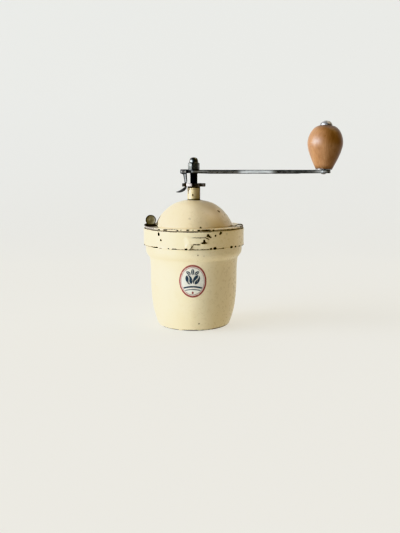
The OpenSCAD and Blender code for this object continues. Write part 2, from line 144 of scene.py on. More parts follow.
def finish_mesh(me, sharp=38, merge=1e-7):
    bm = bmesh.new()
    bm.from_mesh(me)
    if merge:
        bmesh.ops.remove_doubles(bm, verts=bm.verts, dist=merge)
    loose = [v for v in bm.verts if not v.link_faces]
    if loose:
        bmesh.ops.delete(bm, geom=loose, context="VERTS")
    bmesh.ops.recalc_face_normals(bm, faces=bm.faces)
    lim = math.radians(sharp)
    for f in bm.faces:
        f.smooth = True
    for e in bm.edges:
        e.smooth = not (len(e.link_faces) == 2 and e.calc_face_angle(0) > lim)
    bm.to_mesh(me)
    bm.free()
    me.update()


def piece(name, verts, faces, mat, body, slot, stands_for=(), sharp=38, bevel=0, at=None, seg=2):
    me = bpy.data.meshes.new(name)
    me.from_pydata([(v[0] * MM, v[1] * MM, v[2] * MM) for v in verts], [], faces)
    return keep(name, me, mat, body, stands_for, sharp, bevel, at, seg)


def keep(name, me, mat, body, stands_for=(), sharp=38, bevel=0, at=None, seg=2):
    if at is not None:
        me.transform(at)
    finish_mesh(me, sharp)
    me.materials.clear()
    me.materials.append(mat)
    o = bpy.data.objects.new(name, me)
    bpy.context.scene.collection.objects.link(o)
    if bevel:
        soften(o, bevel, seg)
    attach(o, body)
    if stands_for:
        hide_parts(*stands_for)
    return o


def soften(o, width, seg=2, angle=50):
    m = o.modifiers.new("soft_edges", "BEVEL")
    m.width = width * MM
    m.segments = seg
    m.limit_method = "ANGLE"
    m.angle_limit = math.radians(angle)
    m.use_clamp_overlap = True
    m.harden_normals = False
    return m


def lathe(prof, n=192, closed=True, angles=None):
    """Vertices and faces of a profile (radius, height) turned about Z. An open profile starts and ends on the axis."""
    full = angles is None
    A = [TAU * i / n for i in range(n)] if full else [math.radians(a) for a in angles]
    cols = len(A)
    verts, ring = [], []
    for r, z in prof:
        if abs(r) < 1e-6:
            ring.append([len(verts)] * cols)
            verts.append((0, 0, z))
        else:
            ring.append(list(range(len(verts), len(verts) + cols)))
            verts += [(r * math.cos(a), r * math.sin(a), z) for a in A]
    faces = []
    m = len(prof)
    for j in range(m if closed else m - 1):
        a, b = ring[j], ring[(j + 1) % m]
        for i in range(cols if full else cols - 1):
            k = (i + 1) % cols
            q = []
            for v in (a[i], a[k], b[k], b[i]):
                if v not in q:
                    q.append(v)
            if len(q) > 2:
                faces.append(q)
    if not full:
        faces.append([ring[j][0] for j in range(m)])
        faces.append([ring[j][-1] for j in range(m - 1, -1, -1)])
    return verts, faces


def join(*parts):
    verts, faces = [], []
    for v, f in parts:
        k = len(verts)
        verts += list(v)
        faces += [[i + k for i in q] for q in f]
    return verts, faces


def moved(part, m):
    v, f = part
    return [tuple(m @ Vector(p)) for p in v], f


def plate_mesh(name, loops, z0, z1, bevel, res=3):
    """A flat plate with rounded edges. The first loop is its outline, the others are holes."""
    cu = bpy.data.curves.new(name + "_outline", "CURVE")
    cu.dimensions = "2D"
    cu.fill_mode = "BOTH"
    for loop in loops:
        s = cu.splines.new("POLY")
        s.points.add(len(loop) - 1)
        for i, (x, y) in enumerate(loop):
            s.points[i].co = (x * MM, y * MM, 0, 1)
        s.use_cyclic_u = True
    cu.extrude = ((z1 - z0) / 2 - bevel) * MM
    cu.bevel_depth = bevel * MM
    cu.bevel_resolution = res
    cu.offset = -bevel * MM
    o = bpy.data.objects.new(name + "_outline", cu)
    bpy.context.scene.collection.objects.link(o)
    dg = bpy.context.evaluated_depsgraph_get()
    me = bpy.data.meshes.new_from_object(o.evaluated_get(dg), depsgraph=dg)
    me.name = name
    bpy.data.objects.remove(o)
    bpy.data.curves.remove(cu)
    me.transform(Matrix.Translation((0, 0, (z0 + z1) / 2 * MM)))
    return me


# ------------------------------------------------------------------ material trees


class Tree:
    def __init__(self, name):
        m = bpy.data.materials.new(name)
        m.use_nodes = True
        self.m, self.t = m, m.node_tree
        self.t.nodes.clear()
        self.out = self.t.nodes.new("ShaderNodeOutputMaterial")
        self.b = self.t.nodes.new("ShaderNodeBsdfPrincipled")
        self.t.links.new(self.b.outputs[0], self.out.inputs[0])
        co = self.t.nodes.new("ShaderNodeTexCoord")
        self.p = self.v("MULTIPLY", co.outputs["Object"], (1000, 1000, 1000))
        s = self.t.nodes.new("ShaderNodeSeparateXYZ")
        self.t.links.new(self.p, s.inputs[0])
        self.x, self.y, self.z = s.outputs[0], s.outputs[1], s.outputs[2]

    def put(self, sock, v):
        if isinstance(v, bpy.types.NodeSocket):
            self.t.links.new(v, sock)
        elif v is not None:
            if sock.type == "RGBA" and len(v) == 3:
                v = (*v, 1)
            sock.default_value = v

    def f(self, op, a, b=None, c=None, clamp=False):
        n = self.t.nodes.new("ShaderNodeMath")
        n.operation = op
        n.use_clamp = clamp
        self.put(n.inputs[0], a)
        self.put(n.inputs[1], b)
        self.put(n.inputs[2], c)
        return n.outputs[0]

    def v(self, op, a, b=None, c=None):
        n = self.t.nodes.new("ShaderNodeVectorMath")
        n.operation = op
        self.put(n.inputs[0], a)
        if op == "SCALE":
            self.put(n.inputs["Scale"], b)
        else:
            self.put(n.inputs[1], b)
            self.put(n.inputs[2], c)
        return n.outputs["Value"] if op in ("LENGTH", "DISTANCE", "DOT_PRODUCT") else n.outputs[0]

    def comb(self, x, y, z):
        n = self.t.nodes.new("ShaderNodeCombineXYZ")
        for i, q in enumerate((x, y, z)):
            self.put(n.inputs[i], q)
        return n.outputs[0]

    def noise(self, vec, scale, detail=3, rough=0.55, dist=0.0, colour=False):
        n = self.t.nodes.new("ShaderNodeTexNoise")
        self.put(n.inputs["Vector"], vec)
        n.inputs["Scale"].default_value = scale
        n.inputs["Detail"].default_value = detail
        n.inputs["Roughness"].default_value = rough
        n.inputs["Distortion"].default_value = dist
        return n.outputs["Color" if colour else "Fac"]

    def cells(self, vec, scale, out="Distance", rnd=1.0, feature="F1"):
        n = self.t.nodes.new("ShaderNodeTexVoronoi")
        n.feature = feature
        self.put(n.inputs["Vector"], vec)
        n.inputs["Scale"].default_value = scale
        n.inputs["Randomness"].default_value = rnd
        return n.outputs[out]

    def ramp(self, x, lo, hi, a=0.0, b=1.0, soft=True):
        n = self.t.nodes.new("ShaderNodeMapRange")
        n.interpolation_type = "SMOOTHSTEP" if soft else "LINEAR"
        n.clamp = True
        self.put(n.inputs["Value"], x)
        n.inputs["From Min"].default_value = lo
        n.inputs["From Max"].default_value = hi
        n.inputs["To Min"].default_value = a
        n.inputs["To Max"].default_value = b
        return n.outputs[0]

    def mix(self, fac, a, b, mode="MIX"):
        n = self.t.nodes.new("ShaderNodeMix")
        n.data_type = "RGBA"
        n.blend_type = mode
        n.clamp_factor = True
        self.put(n.inputs[0], fac)
        self.put(n.inputs[6], a)
        self.put(n.inputs[7], b)
        return n.outputs[2]

    def blend(self, fac, a, b):
        n = self.t.nodes.new("ShaderNodeMix")
        n.data_type = "FLOAT"
        n.clamp_factor = True
        self.put(n.inputs[0], fac)
        self.put(n.inputs[2], a)
        self.put(n.inputs[3], b)
        return n.outputs[0]

    def bump(self, height, dist_mm, strength=1.0, normal=None):
        n = self.t.nodes.new("ShaderNodeBump")
        n.inputs["Strength"].default_value = strength
        n.inputs["Distance"].default_value = dist_mm * MM
        self.put(n.inputs["Height"], height)
        if normal is not None:
            self.put(n.inputs["Normal"], normal)
        return n.outputs[0]

    def set(self, **kw):
        names = {"base": "Base Color", "metal": "Metallic", "rough": "Roughness", "normal": "Normal", "ior": "IOR",
                 "coat": "Coat Weight", "coat_rough": "Coat Roughness", "spec": "Specular IOR Level", "aniso": "Anisotropic",
                 "sheen": "Sheen Weight"}
        for k, q in kw.items():
            self.put(self.b.inputs[names[k]], q)
        return self.m


def near(t, vec, pts):
    """Distance in mm from the nearest of some round spots (x, y, z, r), negative inside one."""
    best = None
    for x, y, z, r in pts:
        d = t.f("SUBTRACT", t.v("DISTANCE", vec, (x, y, z)), r)
        best = d if best is None else t.f("MINIMUM", best, d)
    return best


def near_flat(t, vec, spots, back=8.0):
    """The same for long flat spots on the front side: (x, z, half length, half height, rise in height for each mm of X)."""
    s = t.t.nodes.new("ShaderNodeSeparateXYZ")
    t.t.links.new(vec, s.inputs[0])
    best = None
    for x, z, a, b, rise in spots:
        dx = t.f("SUBTRACT", s.outputs[0], x)
        dz = t.f("SUBTRACT", s.outputs[2], t.f("MULTIPLY_ADD", dx, rise, z))
        ex = t.f("POWER", t.f("ABSOLUTE", t.f("DIVIDE", dx, a)), 3)
        ez = t.f("POWER", t.f("ABSOLUTE", t.f("DIVIDE", dz, b)), 2)
        d = t.f("MULTIPLY", t.f("SUBTRACT", t.f("POWER", t.f("ADD", ex, ez), 0.5), 1.0), b)
        best = d if best is None else t.f("MINIMUM", best, d)
    return t.f("MAXIMUM", best, t.f("ADD", s.outputs[1], back))


def band_of(t, q, mid, half, soft=0.35):
    """1 where q lies within half of mid, falling to 0 over soft."""
    d = t.f("ABSOLUTE", t.f("SUBTRACT", q, mid))
    return t.ramp(d, half, half + soft, 1.0, 0.0)


# ------------------------------------------------------------------ enamel


def enamel(name, seed, chips=(), lines=(), faint=(), specks=0.5, dirt_and_shade=None, bare=None, runs=(), stains=(), quiet_front=False,
           tone=(1, 1, 1), back=8.0, outer=None, shade=0.0):
    """Cream stoving enamel, yellowed and chipped to dark steel.
    chips: placed chips. faint: small stains. runs, stains: long flat chips and long brown stains on the front.
    lines: (coordinate, height, half width, share worn, length scale), worn edges; quiet_front leaves them off the
    front.
    tone: how far the paint has darkened. back: runs and stains lie where Y is below minus this, outer: and outside this
    radius.
    shade: how strongly the paint is darkened and browned towards +X, a painted shade on the side away from the window."""
    t = Tree(name)
    p = t.v("ADD", t.p, (seed * 31.7, seed * 17.3, seed * 7.9))
    rad = t.f("POWER", t.f("ADD", t.f("MULTIPLY", t.x, t.x), t.f("MULTIPLY", t.y, t.y)), 0.5)
    broad = t.noise(p, 0.022, 3, 0.5)
    mid = t.noise(p, 0.11, 4, 0.6)
    fine = t.noise(p, 0.9, 4, 0.6)
    col = t.mix(t.ramp(broad, 0.34, 0.68), tuple(a_ * b_ for a_, b_ in zip((0.850, 0.722, 0.465), tone)), tuple(a_ * b_ for a_, b_ in zip((0.810, 0.675, 0.410), tone)))
    col = t.mix(t.f("MULTIPLY", t.ramp(mid, 0.45, 0.8), 0.26), col, tuple(a_ * b_ for a_, b_ in zip((0.74, 0.595, 0.325), tone)))
    col = t.mix(t.f("MULTIPLY", t.ramp(fine, 0.5, 0.8), 0.08), col, (0.66, 0.54, 0.34))
    # brownish film where fingers and coffee oil have been
    film = t.ramp(t.noise(t.v("MULTIPLY", p, (1, 1, 0.35)), 0.06, 4, 0.62), 0.56, 0.74)
    col = t.mix(t.f("MULTIPLY", film, 0.20), col, (0.62, 0.47, 0.25))
    # painted shade: the paint darkens and browns towards +X, the side away from the window
    if shade:
        col = t.mix(t.ramp(t.x, 6.0, 25.0, 0.0, shade), col, (0.60, 0.42, 0.15))

    wob = t.v("ADD", t.p, t.v("SCALE", t.v("SUBTRACT", t.noise(p, 0.75, 3, 0.6, colour=True), (0.5, 0.5, 0.5)), 1.3))
    wob2 = t.v("ADD", wob, t.v("SCALE", t.v("SUBTRACT", t.noise(p, 3.1, 2, 0.6, colour=True), (0.5, 0.5, 0.5)), 0.55))
    calm = t.v("ADD", t.p, t.v("SCALE", t.v("SUBTRACT", t.noise(p, 0.9, 3, 0.6, colour=True), (0.5, 0.5, 0.5)), 1.0))
    calm2 = t.v("ADD", calm, t.v("SCALE", t.v("SUBTRACT", t.noise(p, 3.1, 2, 0.6, colour=True), (0.5, 0.5, 0.5)), 0.5))
    worn = None

    def add(m):
        nonlocal worn
        worn = m if worn is None else t.f("MAXIMUM", worn, m)

    if chips:
        add(t.ramp(near(t, wob2, chips), -0.06, 0.10, 1.0, 0.0))
    if runs:
        m = t.ramp(near_flat(t, calm2, runs, back), -0.06, 0.10, 1.0, 0.0)
        add(m if outer is None else t.f("MULTIPLY", m, t.ramp(rad, outer, outer + 0.3)))
    # scattered small knocks, few and uneven
    cell = t.v("ADD", p, t.v("SCALE", t.v("SUBTRACT", t.noise(p, 1.6, 2, 0.5, colour=True), (0.5, 0.5, 0.5)), 0.8))
    dist = t.cells(cell, 0.125)
    pick = t.f("FRACT", t.f("MULTIPLY", t.v("DOT_PRODUCT", t.cells(cell, 0.125, "Color"), (1.0, 1.7, 2.3)), 3.1))
    size = t.ramp(pick, 1 - 0.22 * specks, 1.0, 0.0, 0.085, soft=False)
    add(t.f("MULTIPLY", t.ramp(t.f("SUBTRACT", dist, size), -0.012, 0.004, 1.0, 0.0), t.ramp(pick, 1 - 0.22 * specks, 1 - 0.21 * specks)))
    # worn edges
    rear = t.ramp(t.y, -22.0, -12.0)
    for axis, at, half, share, length in lines:
        q = {"z": t.z, "r": rad}[axis]
        run = t.noise(t.v("MULTIPLY", p, (1, 1, 0.25)), length, 4, 0.62)
        jag = t.f("SUBTRACT", t.noise(p, 1.9, 3, 0.6), 0.5)
        cut = 0.5 + 0.20 * (0.5 - share) * 2
        strong = t.ramp(run, cut - 0.03, cut + 0.07)
        width = t.f("MULTIPLY", strong, half)
        d = t.f("SUBTRACT", t.f("ABSOLUTE", t.f("SUBTRACT", q, at)), t.f("MULTIPLY_ADD", jag, 0.9 * half, width))
        line = t.f("MULTIPLY", t.ramp(d, -0.10, 0.10, 1.0, 0.0), t.ramp(strong, 0.02, 0.16))
        add(t.f("MULTIPLY", line, rear) if quiet_front else line)
    if bare is not None:
        add(bare(t, p, rad))

    # brown rim of rust creep and thin enamel round each chip
    if chips:
        rim = t.ramp(near(t, wob, [(x, y, z, r + 0.25) for x, y, z, r in chips]), -0.1, 0.8, 1.0, 0.0)
        col = t.mix(t.f("MULTIPLY", rim, 0.34), col, (0.42, 0.26, 0.12))
    if runs:
        rim = t.ramp(near_flat(t, calm, [(x, z, a_ + 0.3, b_ + 0.22, q) for x, z, a_, b_, q in runs], back), -0.1, 0.5, 1.0, 0.0)
        rim = rim if outer is None else t.f("MULTIPLY", rim, t.ramp(rad, outer, outer + 0.3))
        col = t.mix(t.f("MULTIPLY", rim, 0.40), col, (0.40, 0.27, 0.14))
    if faint:
        f = t.ramp(near(t, wob, faint), -0.3, 0.7, 1.0, 0.0)
        col = t.mix(t.f("MULTIPLY", f, 0.42), col, (0.36, 0.26, 0.14))
    matt = worn
    if stains:
        f = t.ramp(near_flat(t, calm2, stains, back), -0.10, 0.22, 1.0, 0.0)
        f = f if outer is None else t.f("MULTIPLY", f, t.ramp(rad, outer, outer + 0.3))
        matt = t.f("MAXIMUM", matt, f)
        col = t.mix(t.f("MULTIPLY", f, t.ramp(t.noise(p, 0.8, 3, 0.6), 0.3, 0.6, 0.66, 0.97)), col, (0.085, 0.058, 0.036))
    # each part's list of masks and colours: soiling, and painted shade in corners and on the shaded side
    if dirt_and_shade is not None:
        for g, dirt_and_shade_col in dirt_and_shade(t, p, rad):
            col = t.mix(g, col, dirt_and_shade_col)
            matt = t.f("MAXIMUM", matt, t.f("MULTIPLY", g, 0.9))

    rust = t.noise(p, 1.3, 4, 0.65)
    steel = t.mix(t.ramp(rust, 0.46, 0.68), (0.012, 0.010, 0.007), (0.050, 0.032, 0.016))
    steel = t.mix(t.f("MULTIPLY", t.ramp(t.noise(p, 5.0, 2, 0.5), 0.68, 0.78), 0.4), steel, (0.12, 0.10, 0.085))
    col = t.mix(worn, col, steel)

    gloss = t.ramp(t.noise(p, 0.35, 4, 0.6), 0.3, 0.75, 0.25, 0.38)
    gloss = t.f("ADD", gloss, t.f("MULTIPLY", film, 0.07))
    gloss = t.blend(matt, gloss, 0.92)
    peel = t.f("MULTIPLY", t.noise(p, 0.55, 2, 0.4), 0.05)
    peel = t.f("ADD", peel, t.f("MULTIPLY", t.noise(p, 0.045, 2, 0.5), 0.35))
    height = t.f("SUBTRACT", peel, t.f("MULTIPLY", worn, 0.16))
    height = t.f("ADD", height, t.f("MULTIPLY", t.f("MULTIPLY", worn, t.noise(p, 2.8, 3, 0.6)), 0.06))
    return t.set(base=col, metal=t.f("MULTIPLY", worn, 0.95), rough=gloss, normal=t.bump(height, 1.0, 0.9), ior=1.48)


# ------------------------------------------------------------------ metals and wood


def metal(name, light, dark, rust=(0.10, 0.045, 0.018), patina=0.5, rusty=0.25, rough=(0.28, 0.5), seed=0, brush=None, edge=None, metallic=1.0, film_metal=0.6):
    """Old metal: worn lighter places in a darker film, rust spots, fine scratches.
    edge gives (where, colour) of matt painted shade, and after that (where, colour) of dull painted highlight."""
    t = Tree(name)
    p = t.v("ADD", t.p, (seed * 13.1, seed * 29.9, seed * 5.3))
    a = t.noise(p, 0.24, 4, 0.62)
    b = t.noise(p, 1.2, 4, 0.6)
    c = t.noise(p, 5.5, 2, 0.5)
    film = t.ramp(t.f("MULTIPLY_ADD", b, 0.35, a), 0.52 + 0.3 * (0.5 - patina), 0.86 + 0.3 * (0.5 - patina))
    col = t.mix(film, light, dark)
    col = t.mix(t.f("MULTIPLY", t.ramp(c, 0.4, 0.8), 0.25), col, dark)
    rs = t.f("MULTIPLY", t.ramp(t.noise(p, 0.6, 5, 0.68), 0.66 - 0.22 * rusty, 0.80 - 0.22 * rusty), t.ramp(c, 0.35, 0.6, 0.4, 1.0))
    col = t.mix(rs, col, rust)
    stretch = brush if brush else (0.25, 2.6, 2.6)
    lines = t.noise(t.v("MULTIPLY", p, stretch), 2.2, 3, 0.6)
    scratch = t.ramp(lines, 0.35, 0.7)
    m = t.blend(rs, t.blend(film, metallic, metallic * film_metal), 0.25)
    r = t.blend(film, rough[0], rough[1])
    r = t.f("ADD", r, t.f("MULTIPLY_ADD", scratch, 0.10, -0.03))
    r = t.blend(rs, r, 0.75)
    # painted shade, then painted highlights, given by edge
    if edge is not None:
        e = edge(t, p)
        if len(e) > 2:
            col = t.mix(e[2], col, e[3])
            m = t.blend(e[2], m, 0.25)
            r = t.blend(e[2], r, 0.55)
        col = t.mix(e[0], col, e[1])
        m = t.blend(e[0], m, 0.0)
        r = t.blend(e[0], r, 0.85)
    h = t.f("ADD", t.f("MULTIPLY", lines, 0.012), t.f("MULTIPLY", b, 0.03))
    h = t.f("ADD", h, t.f("MULTIPLY", rs, t.f("MULTIPLY", c, 0.05)))
    return t.set(base=col, metal=m, rough=r, normal=t.bump(h, 1.0, 0.8), ior=1.3)


def turned_wood(name):
    t = Tree(name)
    axis = Vector((133.8, 0, 161.0))
    q = t.v("SUBTRACT", t.p, tuple(axis))
    s = t.t.nodes.new("ShaderNodeSeparateXYZ")
    t.t.links.new(q, s.inputs[0])
    x, y, z = s.outputs
    x = t.f("SUBTRACT", x, t.f("MULTIPLY", z, 0.02444))
    p = t.comb(x, y, z)
    # growth rings about the pith, which lies outside the knob
    wav = t.f("MULTIPLY", t.f("SUBTRACT", t.noise(t.v("MULTIPLY", p, (1, 1, 0.22)), 0.055, 3, 0.5), 0.5), 16.0)
    dx = t.f("ADD", x, 21.0)
    dy = t.f("SUBTRACT", y, 27.0)
    dist = t.f("POWER", t.f("ADD", t.f("MULTIPLY", dx, dx), t.f("MULTIPLY", dy, dy)), 0.5)
    ringc = t.f("MULTIPLY", t.f("ADD", dist, wav), 0.46)
    ring = t.f("FRACT", ringc)
    late = t.f("MULTIPLY", t.ramp(ring, 0.30, 0.95), t.ramp(ring, 0.95, 1.0, 1.0, 0.0))
    fibre = t.noise(t.v("MULTIPLY", p, (1.0, 1.0, 0.05)), 2.3, 4, 0.6)
    pores = t.ramp(t.noise(t.v("MULTIPLY", p, (1.0, 1.0, 0.07)), 4.6, 2, 0.5), 0.60, 0.70)
    blot = t.noise(t.v("MULTIPLY", p, (1.0, 1.0, 0.45)), 0.105, 4, 0.6)
    figure = t.noise(t.v("MULTIPLY", p, (1.0, 1.0, 0.3)), 0.33, 3, 0.6)
    col = t.mix(t.ramp(blot, 0.34, 0.68), (0.365, 0.188, 0.083), (0.255, 0.118, 0.048))
    col = t.mix(t.f("MULTIPLY", late, 0.34), col, (0.195, 0.084, 0.032))
    col = t.mix(t.f("MULTIPLY", t.ramp(fibre, 0.42, 0.72), 0.38), col, (0.205, 0.092, 0.037))
    col = t.mix(t.f("MULTIPLY", t.ramp(figure, 0.48, 0.72), 0.24), col, (0.44, 0.245, 0.118))
    col = t.mix(t.f("MULTIPLY", pores, 0.45), col, (0.12, 0.055, 0.025))
    # hand grease and dirt near the foot and the cap
    ends = t.f("MAXIMUM", t.ramp(z, 1.2, 5.5, 1.0, 0.0), t.ramp(z, 40.5, 44.4))
    col = t.mix(t.f("MULTIPLY", ends, t.ramp(t.noise(p, 0.5, 3, 0.6), 0.3, 0.7, 0.35, 0.8)), col, (0.075, 0.035, 0.018))
    spots = t.f("MULTIPLY", t.ramp(t.noise(p, 0.55, 4, 0.7), 0.66, 0.74), 0.5)
    col = t.mix(spots, col, (0.13, 0.065, 0.030))
    # fine turning lines
    turn = t.noise(t.comb(t.f("MULTIPLY", x, 0.02), t.f("MULTIPLY", y, 0.02), z), 2.6, 3, 0.6)
    r = t.ramp(t.noise(p, 0.22, 4, 0.6), 0.3, 0.75, 0.27, 0.43)
    r = t.f("ADD", r, t.f("MULTIPLY", pores, 0.15))
    h = t.f("SUBTRACT", t.f("MULTIPLY", turn, 0.035), t.f("MULTIPLY", pores, 0.03))
    h = t.f("ADD", h, t.f("MULTIPLY", fibre, 0.02))
    h = t.f("ADD", h, t.f("MULTIPLY", figure, 0.12))
    # painted shade: the knob darkens towards its right side, away from the window
    col = t.mix(t.f("MULTIPLY", t.ramp(t.x, 124.5, 147.5), 0.50), col, (0.070, 0.028, 0.008))
    return t.set(base=col, rough=r, normal=t.bump(h, 1.0, 0.7), coat=0.07, coat_rough=0.28, ior=1.40)


# ------------------------------------------------------------------ the badge's print

BX, BZ = -0.8, 52.6          # middle of the badge
BA, BB = 13.9, 16.6          # its half width and half height


def transfer(name):
    """An oval transfer: brick-red rings, coffee leaves and beans in navy, bowed stripes."""
    t = Tree(name)
    arcx = t.f("MULTIPLY", t.f("ARCTAN2", t.x, t.f("MULTIPLY", t.y, -1.0)), 45.2)
    u0 = t.f("SUBTRACT", arcx, BX)
    v0 = t.f("SUBTRACT", t.z, BZ)
    jit = t.noise(t.p, 1.7, 3, 0.6, colour=True)
    jit = t.v("SCALE", t.v("SUBTRACT", jit, (0.5, 0.5, 0.5)), 0.34)
    js = t.t.nodes.new("ShaderNodeSeparateXYZ")
    t.t.links.new(jit, js.inputs[0])
    u = t.f("ADD", u0, js.outputs[0])
    v = t.f("ADD", v0, js.outputs[2])

    def oval(du, dv, a, b, rot=0.0, uu=None, vv=None):
        """Roughly the distance from an oval's edge in mm, negative inside."""
        c, s = math.cos(math.radians(rot)), math.sin(math.radians(rot))
        pu = t.f("SUBTRACT", uu or u, du)
        pv = t.f("SUBTRACT", vv or v, dv)
        ru = t.f("MULTIPLY_ADD", pu, c, t.f("MULTIPLY", pv, s))
        rv = t.f("MULTIPLY_ADD", pv, c, t.f("MULTIPLY", pu, -s))
        e = t.f("POWER", t.f("ADD", t.f("POWER", t.f("ABSOLUTE", t.f("DIVIDE", ru, a)), 2), t.f("POWER", t.f("ABSOLUTE", t.f("DIVIDE", rv, b)), 2)), 0.5)
        return t.f("MULTIPLY", t.f("SUBTRACT", e, 1.0), min(a, b)), ru, rv

    def ink(d, soft=0.14):
        return t.ramp(d, -soft, soft, 1.0, 0.0)

    def both(a, b):
        return t.f("MAXIMUM", a, b)

    def bean(du, dv, a, b, rot):
        d, ru, rv = oval(du, dv, a, b, rot)
        s = t.f("MULTIPLY", t.f("SINE", t.f("MULTIPLY", rv, PI / b)), a * 0.26)
        crease = t.f("SUBTRACT", t.f("ABSOLUTE", t.f("SUBTRACT", ru, s)), 0.30)
        return t.f("MULTIPLY", ink(d), t.ramp(crease, -0.10, 0.14))

    def leaf(du, dv, length, width, rot):
        c, s = math.cos(math.radians(rot)), math.sin(math.radians(rot))
        pu, pv = t.f("SUBTRACT", u, du), t.f("SUBTRACT", v, dv)
        ru = t.f("MULTIPLY_ADD", pu, c, t.f("MULTIPLY", pv, s))
        rv = t.f("MULTIPLY_ADD", pv, c, t.f("MULTIPLY", pu, -s))
        k = t.f("SUBTRACT", 1.0, t.f("POWER", t.f("ABSOLUTE", t.f("DIVIDE", ru, length)), 2))
        d = t.f("SUBTRACT", t.f("ABSOLUTE", rv), t.f("MULTIPLY", k, width))
        rib = t.f("SUBTRACT", t.f("ABSOLUTE", rv), 0.16)
        return t.f("MULTIPLY", ink(d), t.ramp(rib, -0.08, 0.10))

    edge, _, _ = oval(0, 0, BA, BB)
    field = t.ramp(edge, -0.15, 0.05, 1.0, 0.0)
    red = both(ink(t.f("SUBTRACT", t.f("ABSOLUTE", t.f("ADD", edge, 0.90)), 0.84)),
               ink(t.f("SUBTRACT", t.f("ABSOLUTE", t.f("ADD", edge, 2.45)), 0.22)))
    navy = both(bean(-3.7, 1.5, 3.25, 4.9, 24), bean(3.7, 1.5, 3.25, 4.9, -24))
    for du, dv, ln, w, rot in ((0, 9.2, 3.7, 1.6, 90), (-4.1, 8.1, 3.3, 1.5, 142), (4.1, 8.1, 3.3, 1.5, 38)):
        navy = both(navy, leaf(du, dv, ln, w, rot))
    # two bowed stripes under the beans
    bow = t.f("MULTIPLY_ADD", t.f("MULTIPLY", u, u), 0.018, v)
    inner = t.ramp(edge, -3.15, -2.95, 1.0, 0.0)
    s1 = ink(t.f("SUBTRACT", t.f("ABSOLUTE", t.f("ADD", bow, 5.5)), 0.85))
    s2 = ink(t.f("SUBTRACT", t.f("ABSOLUTE", t.f("ADD", bow, 8.3)), 0.42))
    navy = both(navy, t.f("MULTIPLY", inner, both(s1, s2)))
    small, _, _ = oval(0, -11.6, 1.0, 1.35)
    red = both(red, ink(small))

    pale = t.mix(t.ramp(t.noise(t.p, 0.3, 3, 0.6), 0.35, 0.7), (0.76, 0.72, 0.60), (0.66, 0.62, 0.50))
    inkn = t.mix(t.ramp(t.noise(t.p, 0.8, 3, 0.6), 0.35, 0.7), (0.016, 0.028, 0.046), (0.024, 0.042, 0.060))
    inkr = t.mix(t.ramp(t.noise(t.p, 0.8, 3, 0.6), 0.35, 0.7), (0.32, 0.068, 0.050), (0.25, 0.050, 0.036))
    # print that has flaked and rubbed
    flake = t.ramp(t.noise(t.p, 1.1, 5, 0.7), 0.645, 0.675)
    rub = t.ramp(t.noise(t.p, 0.42, 4, 0.6), 0.56, 0.74, 0.0, 0.45)
    col = t.mix(navy, pale, inkn)
    col = t.mix(red, col, inkr)
    col = t.mix(t.f("MAXIMUM", flake, rub), col, (0.77, 0.66, 0.45))
    cream = t.mix(t.ramp(t.noise(t.p, 0.11, 4, 0.6), 0.4, 0.75), (0.830, 0.702, 0.450), (0.785, 0.645, 0.385))
    col = t.mix(field, cream, col)
    r = t.ramp(t.noise(t.p, 0.5, 4, 0.6), 0.3, 0.75, 0.30, 0.46)
    h = t.f("ADD", t.f("MULTIPLY", t.noise(t.p, 0.55, 2, 0.4), 0.05), t.f("MULTIPLY", t.f("MAXIMUM", navy, red), 0.012))
    h = t.f("SUBTRACT", h, t.f("MULTIPLY", flake, 0.02))
    return t.set(base=col, rough=r, normal=t.bump(h, 1.0, 0.9), ior=1.52)


# ------------------------------------------------------------------ the finishes

pot_mat = enamel("pot_enamel", 1,
                 chips=[(5.3, -39.6, 8.4, 0.55), (4.4, -49.5, 79.0, 0.40)],
                 faint=[(10.2, -48.7, 78.1, 0.6), (-39.5, -15.0, 17.8, 0.5), (4.4, -49.7, 79.0, 0.6)],
                 # the two stains low on the front, at z 0.75 and 1.0, are worn paint at the foot with a painted contact
                 # shadow
                 stains=[(28.5, 1.0, 11.0, 0.55, 0.0), (6.0, 0.75, 16.0, 0.34, 0.0)],
                 lines=[("z", 0.8, 0.60, 0.50, 0.10), ("z", 101.0, 0.5, 0.85, 0.14)],
                 specks=0.12, shade=0.28)

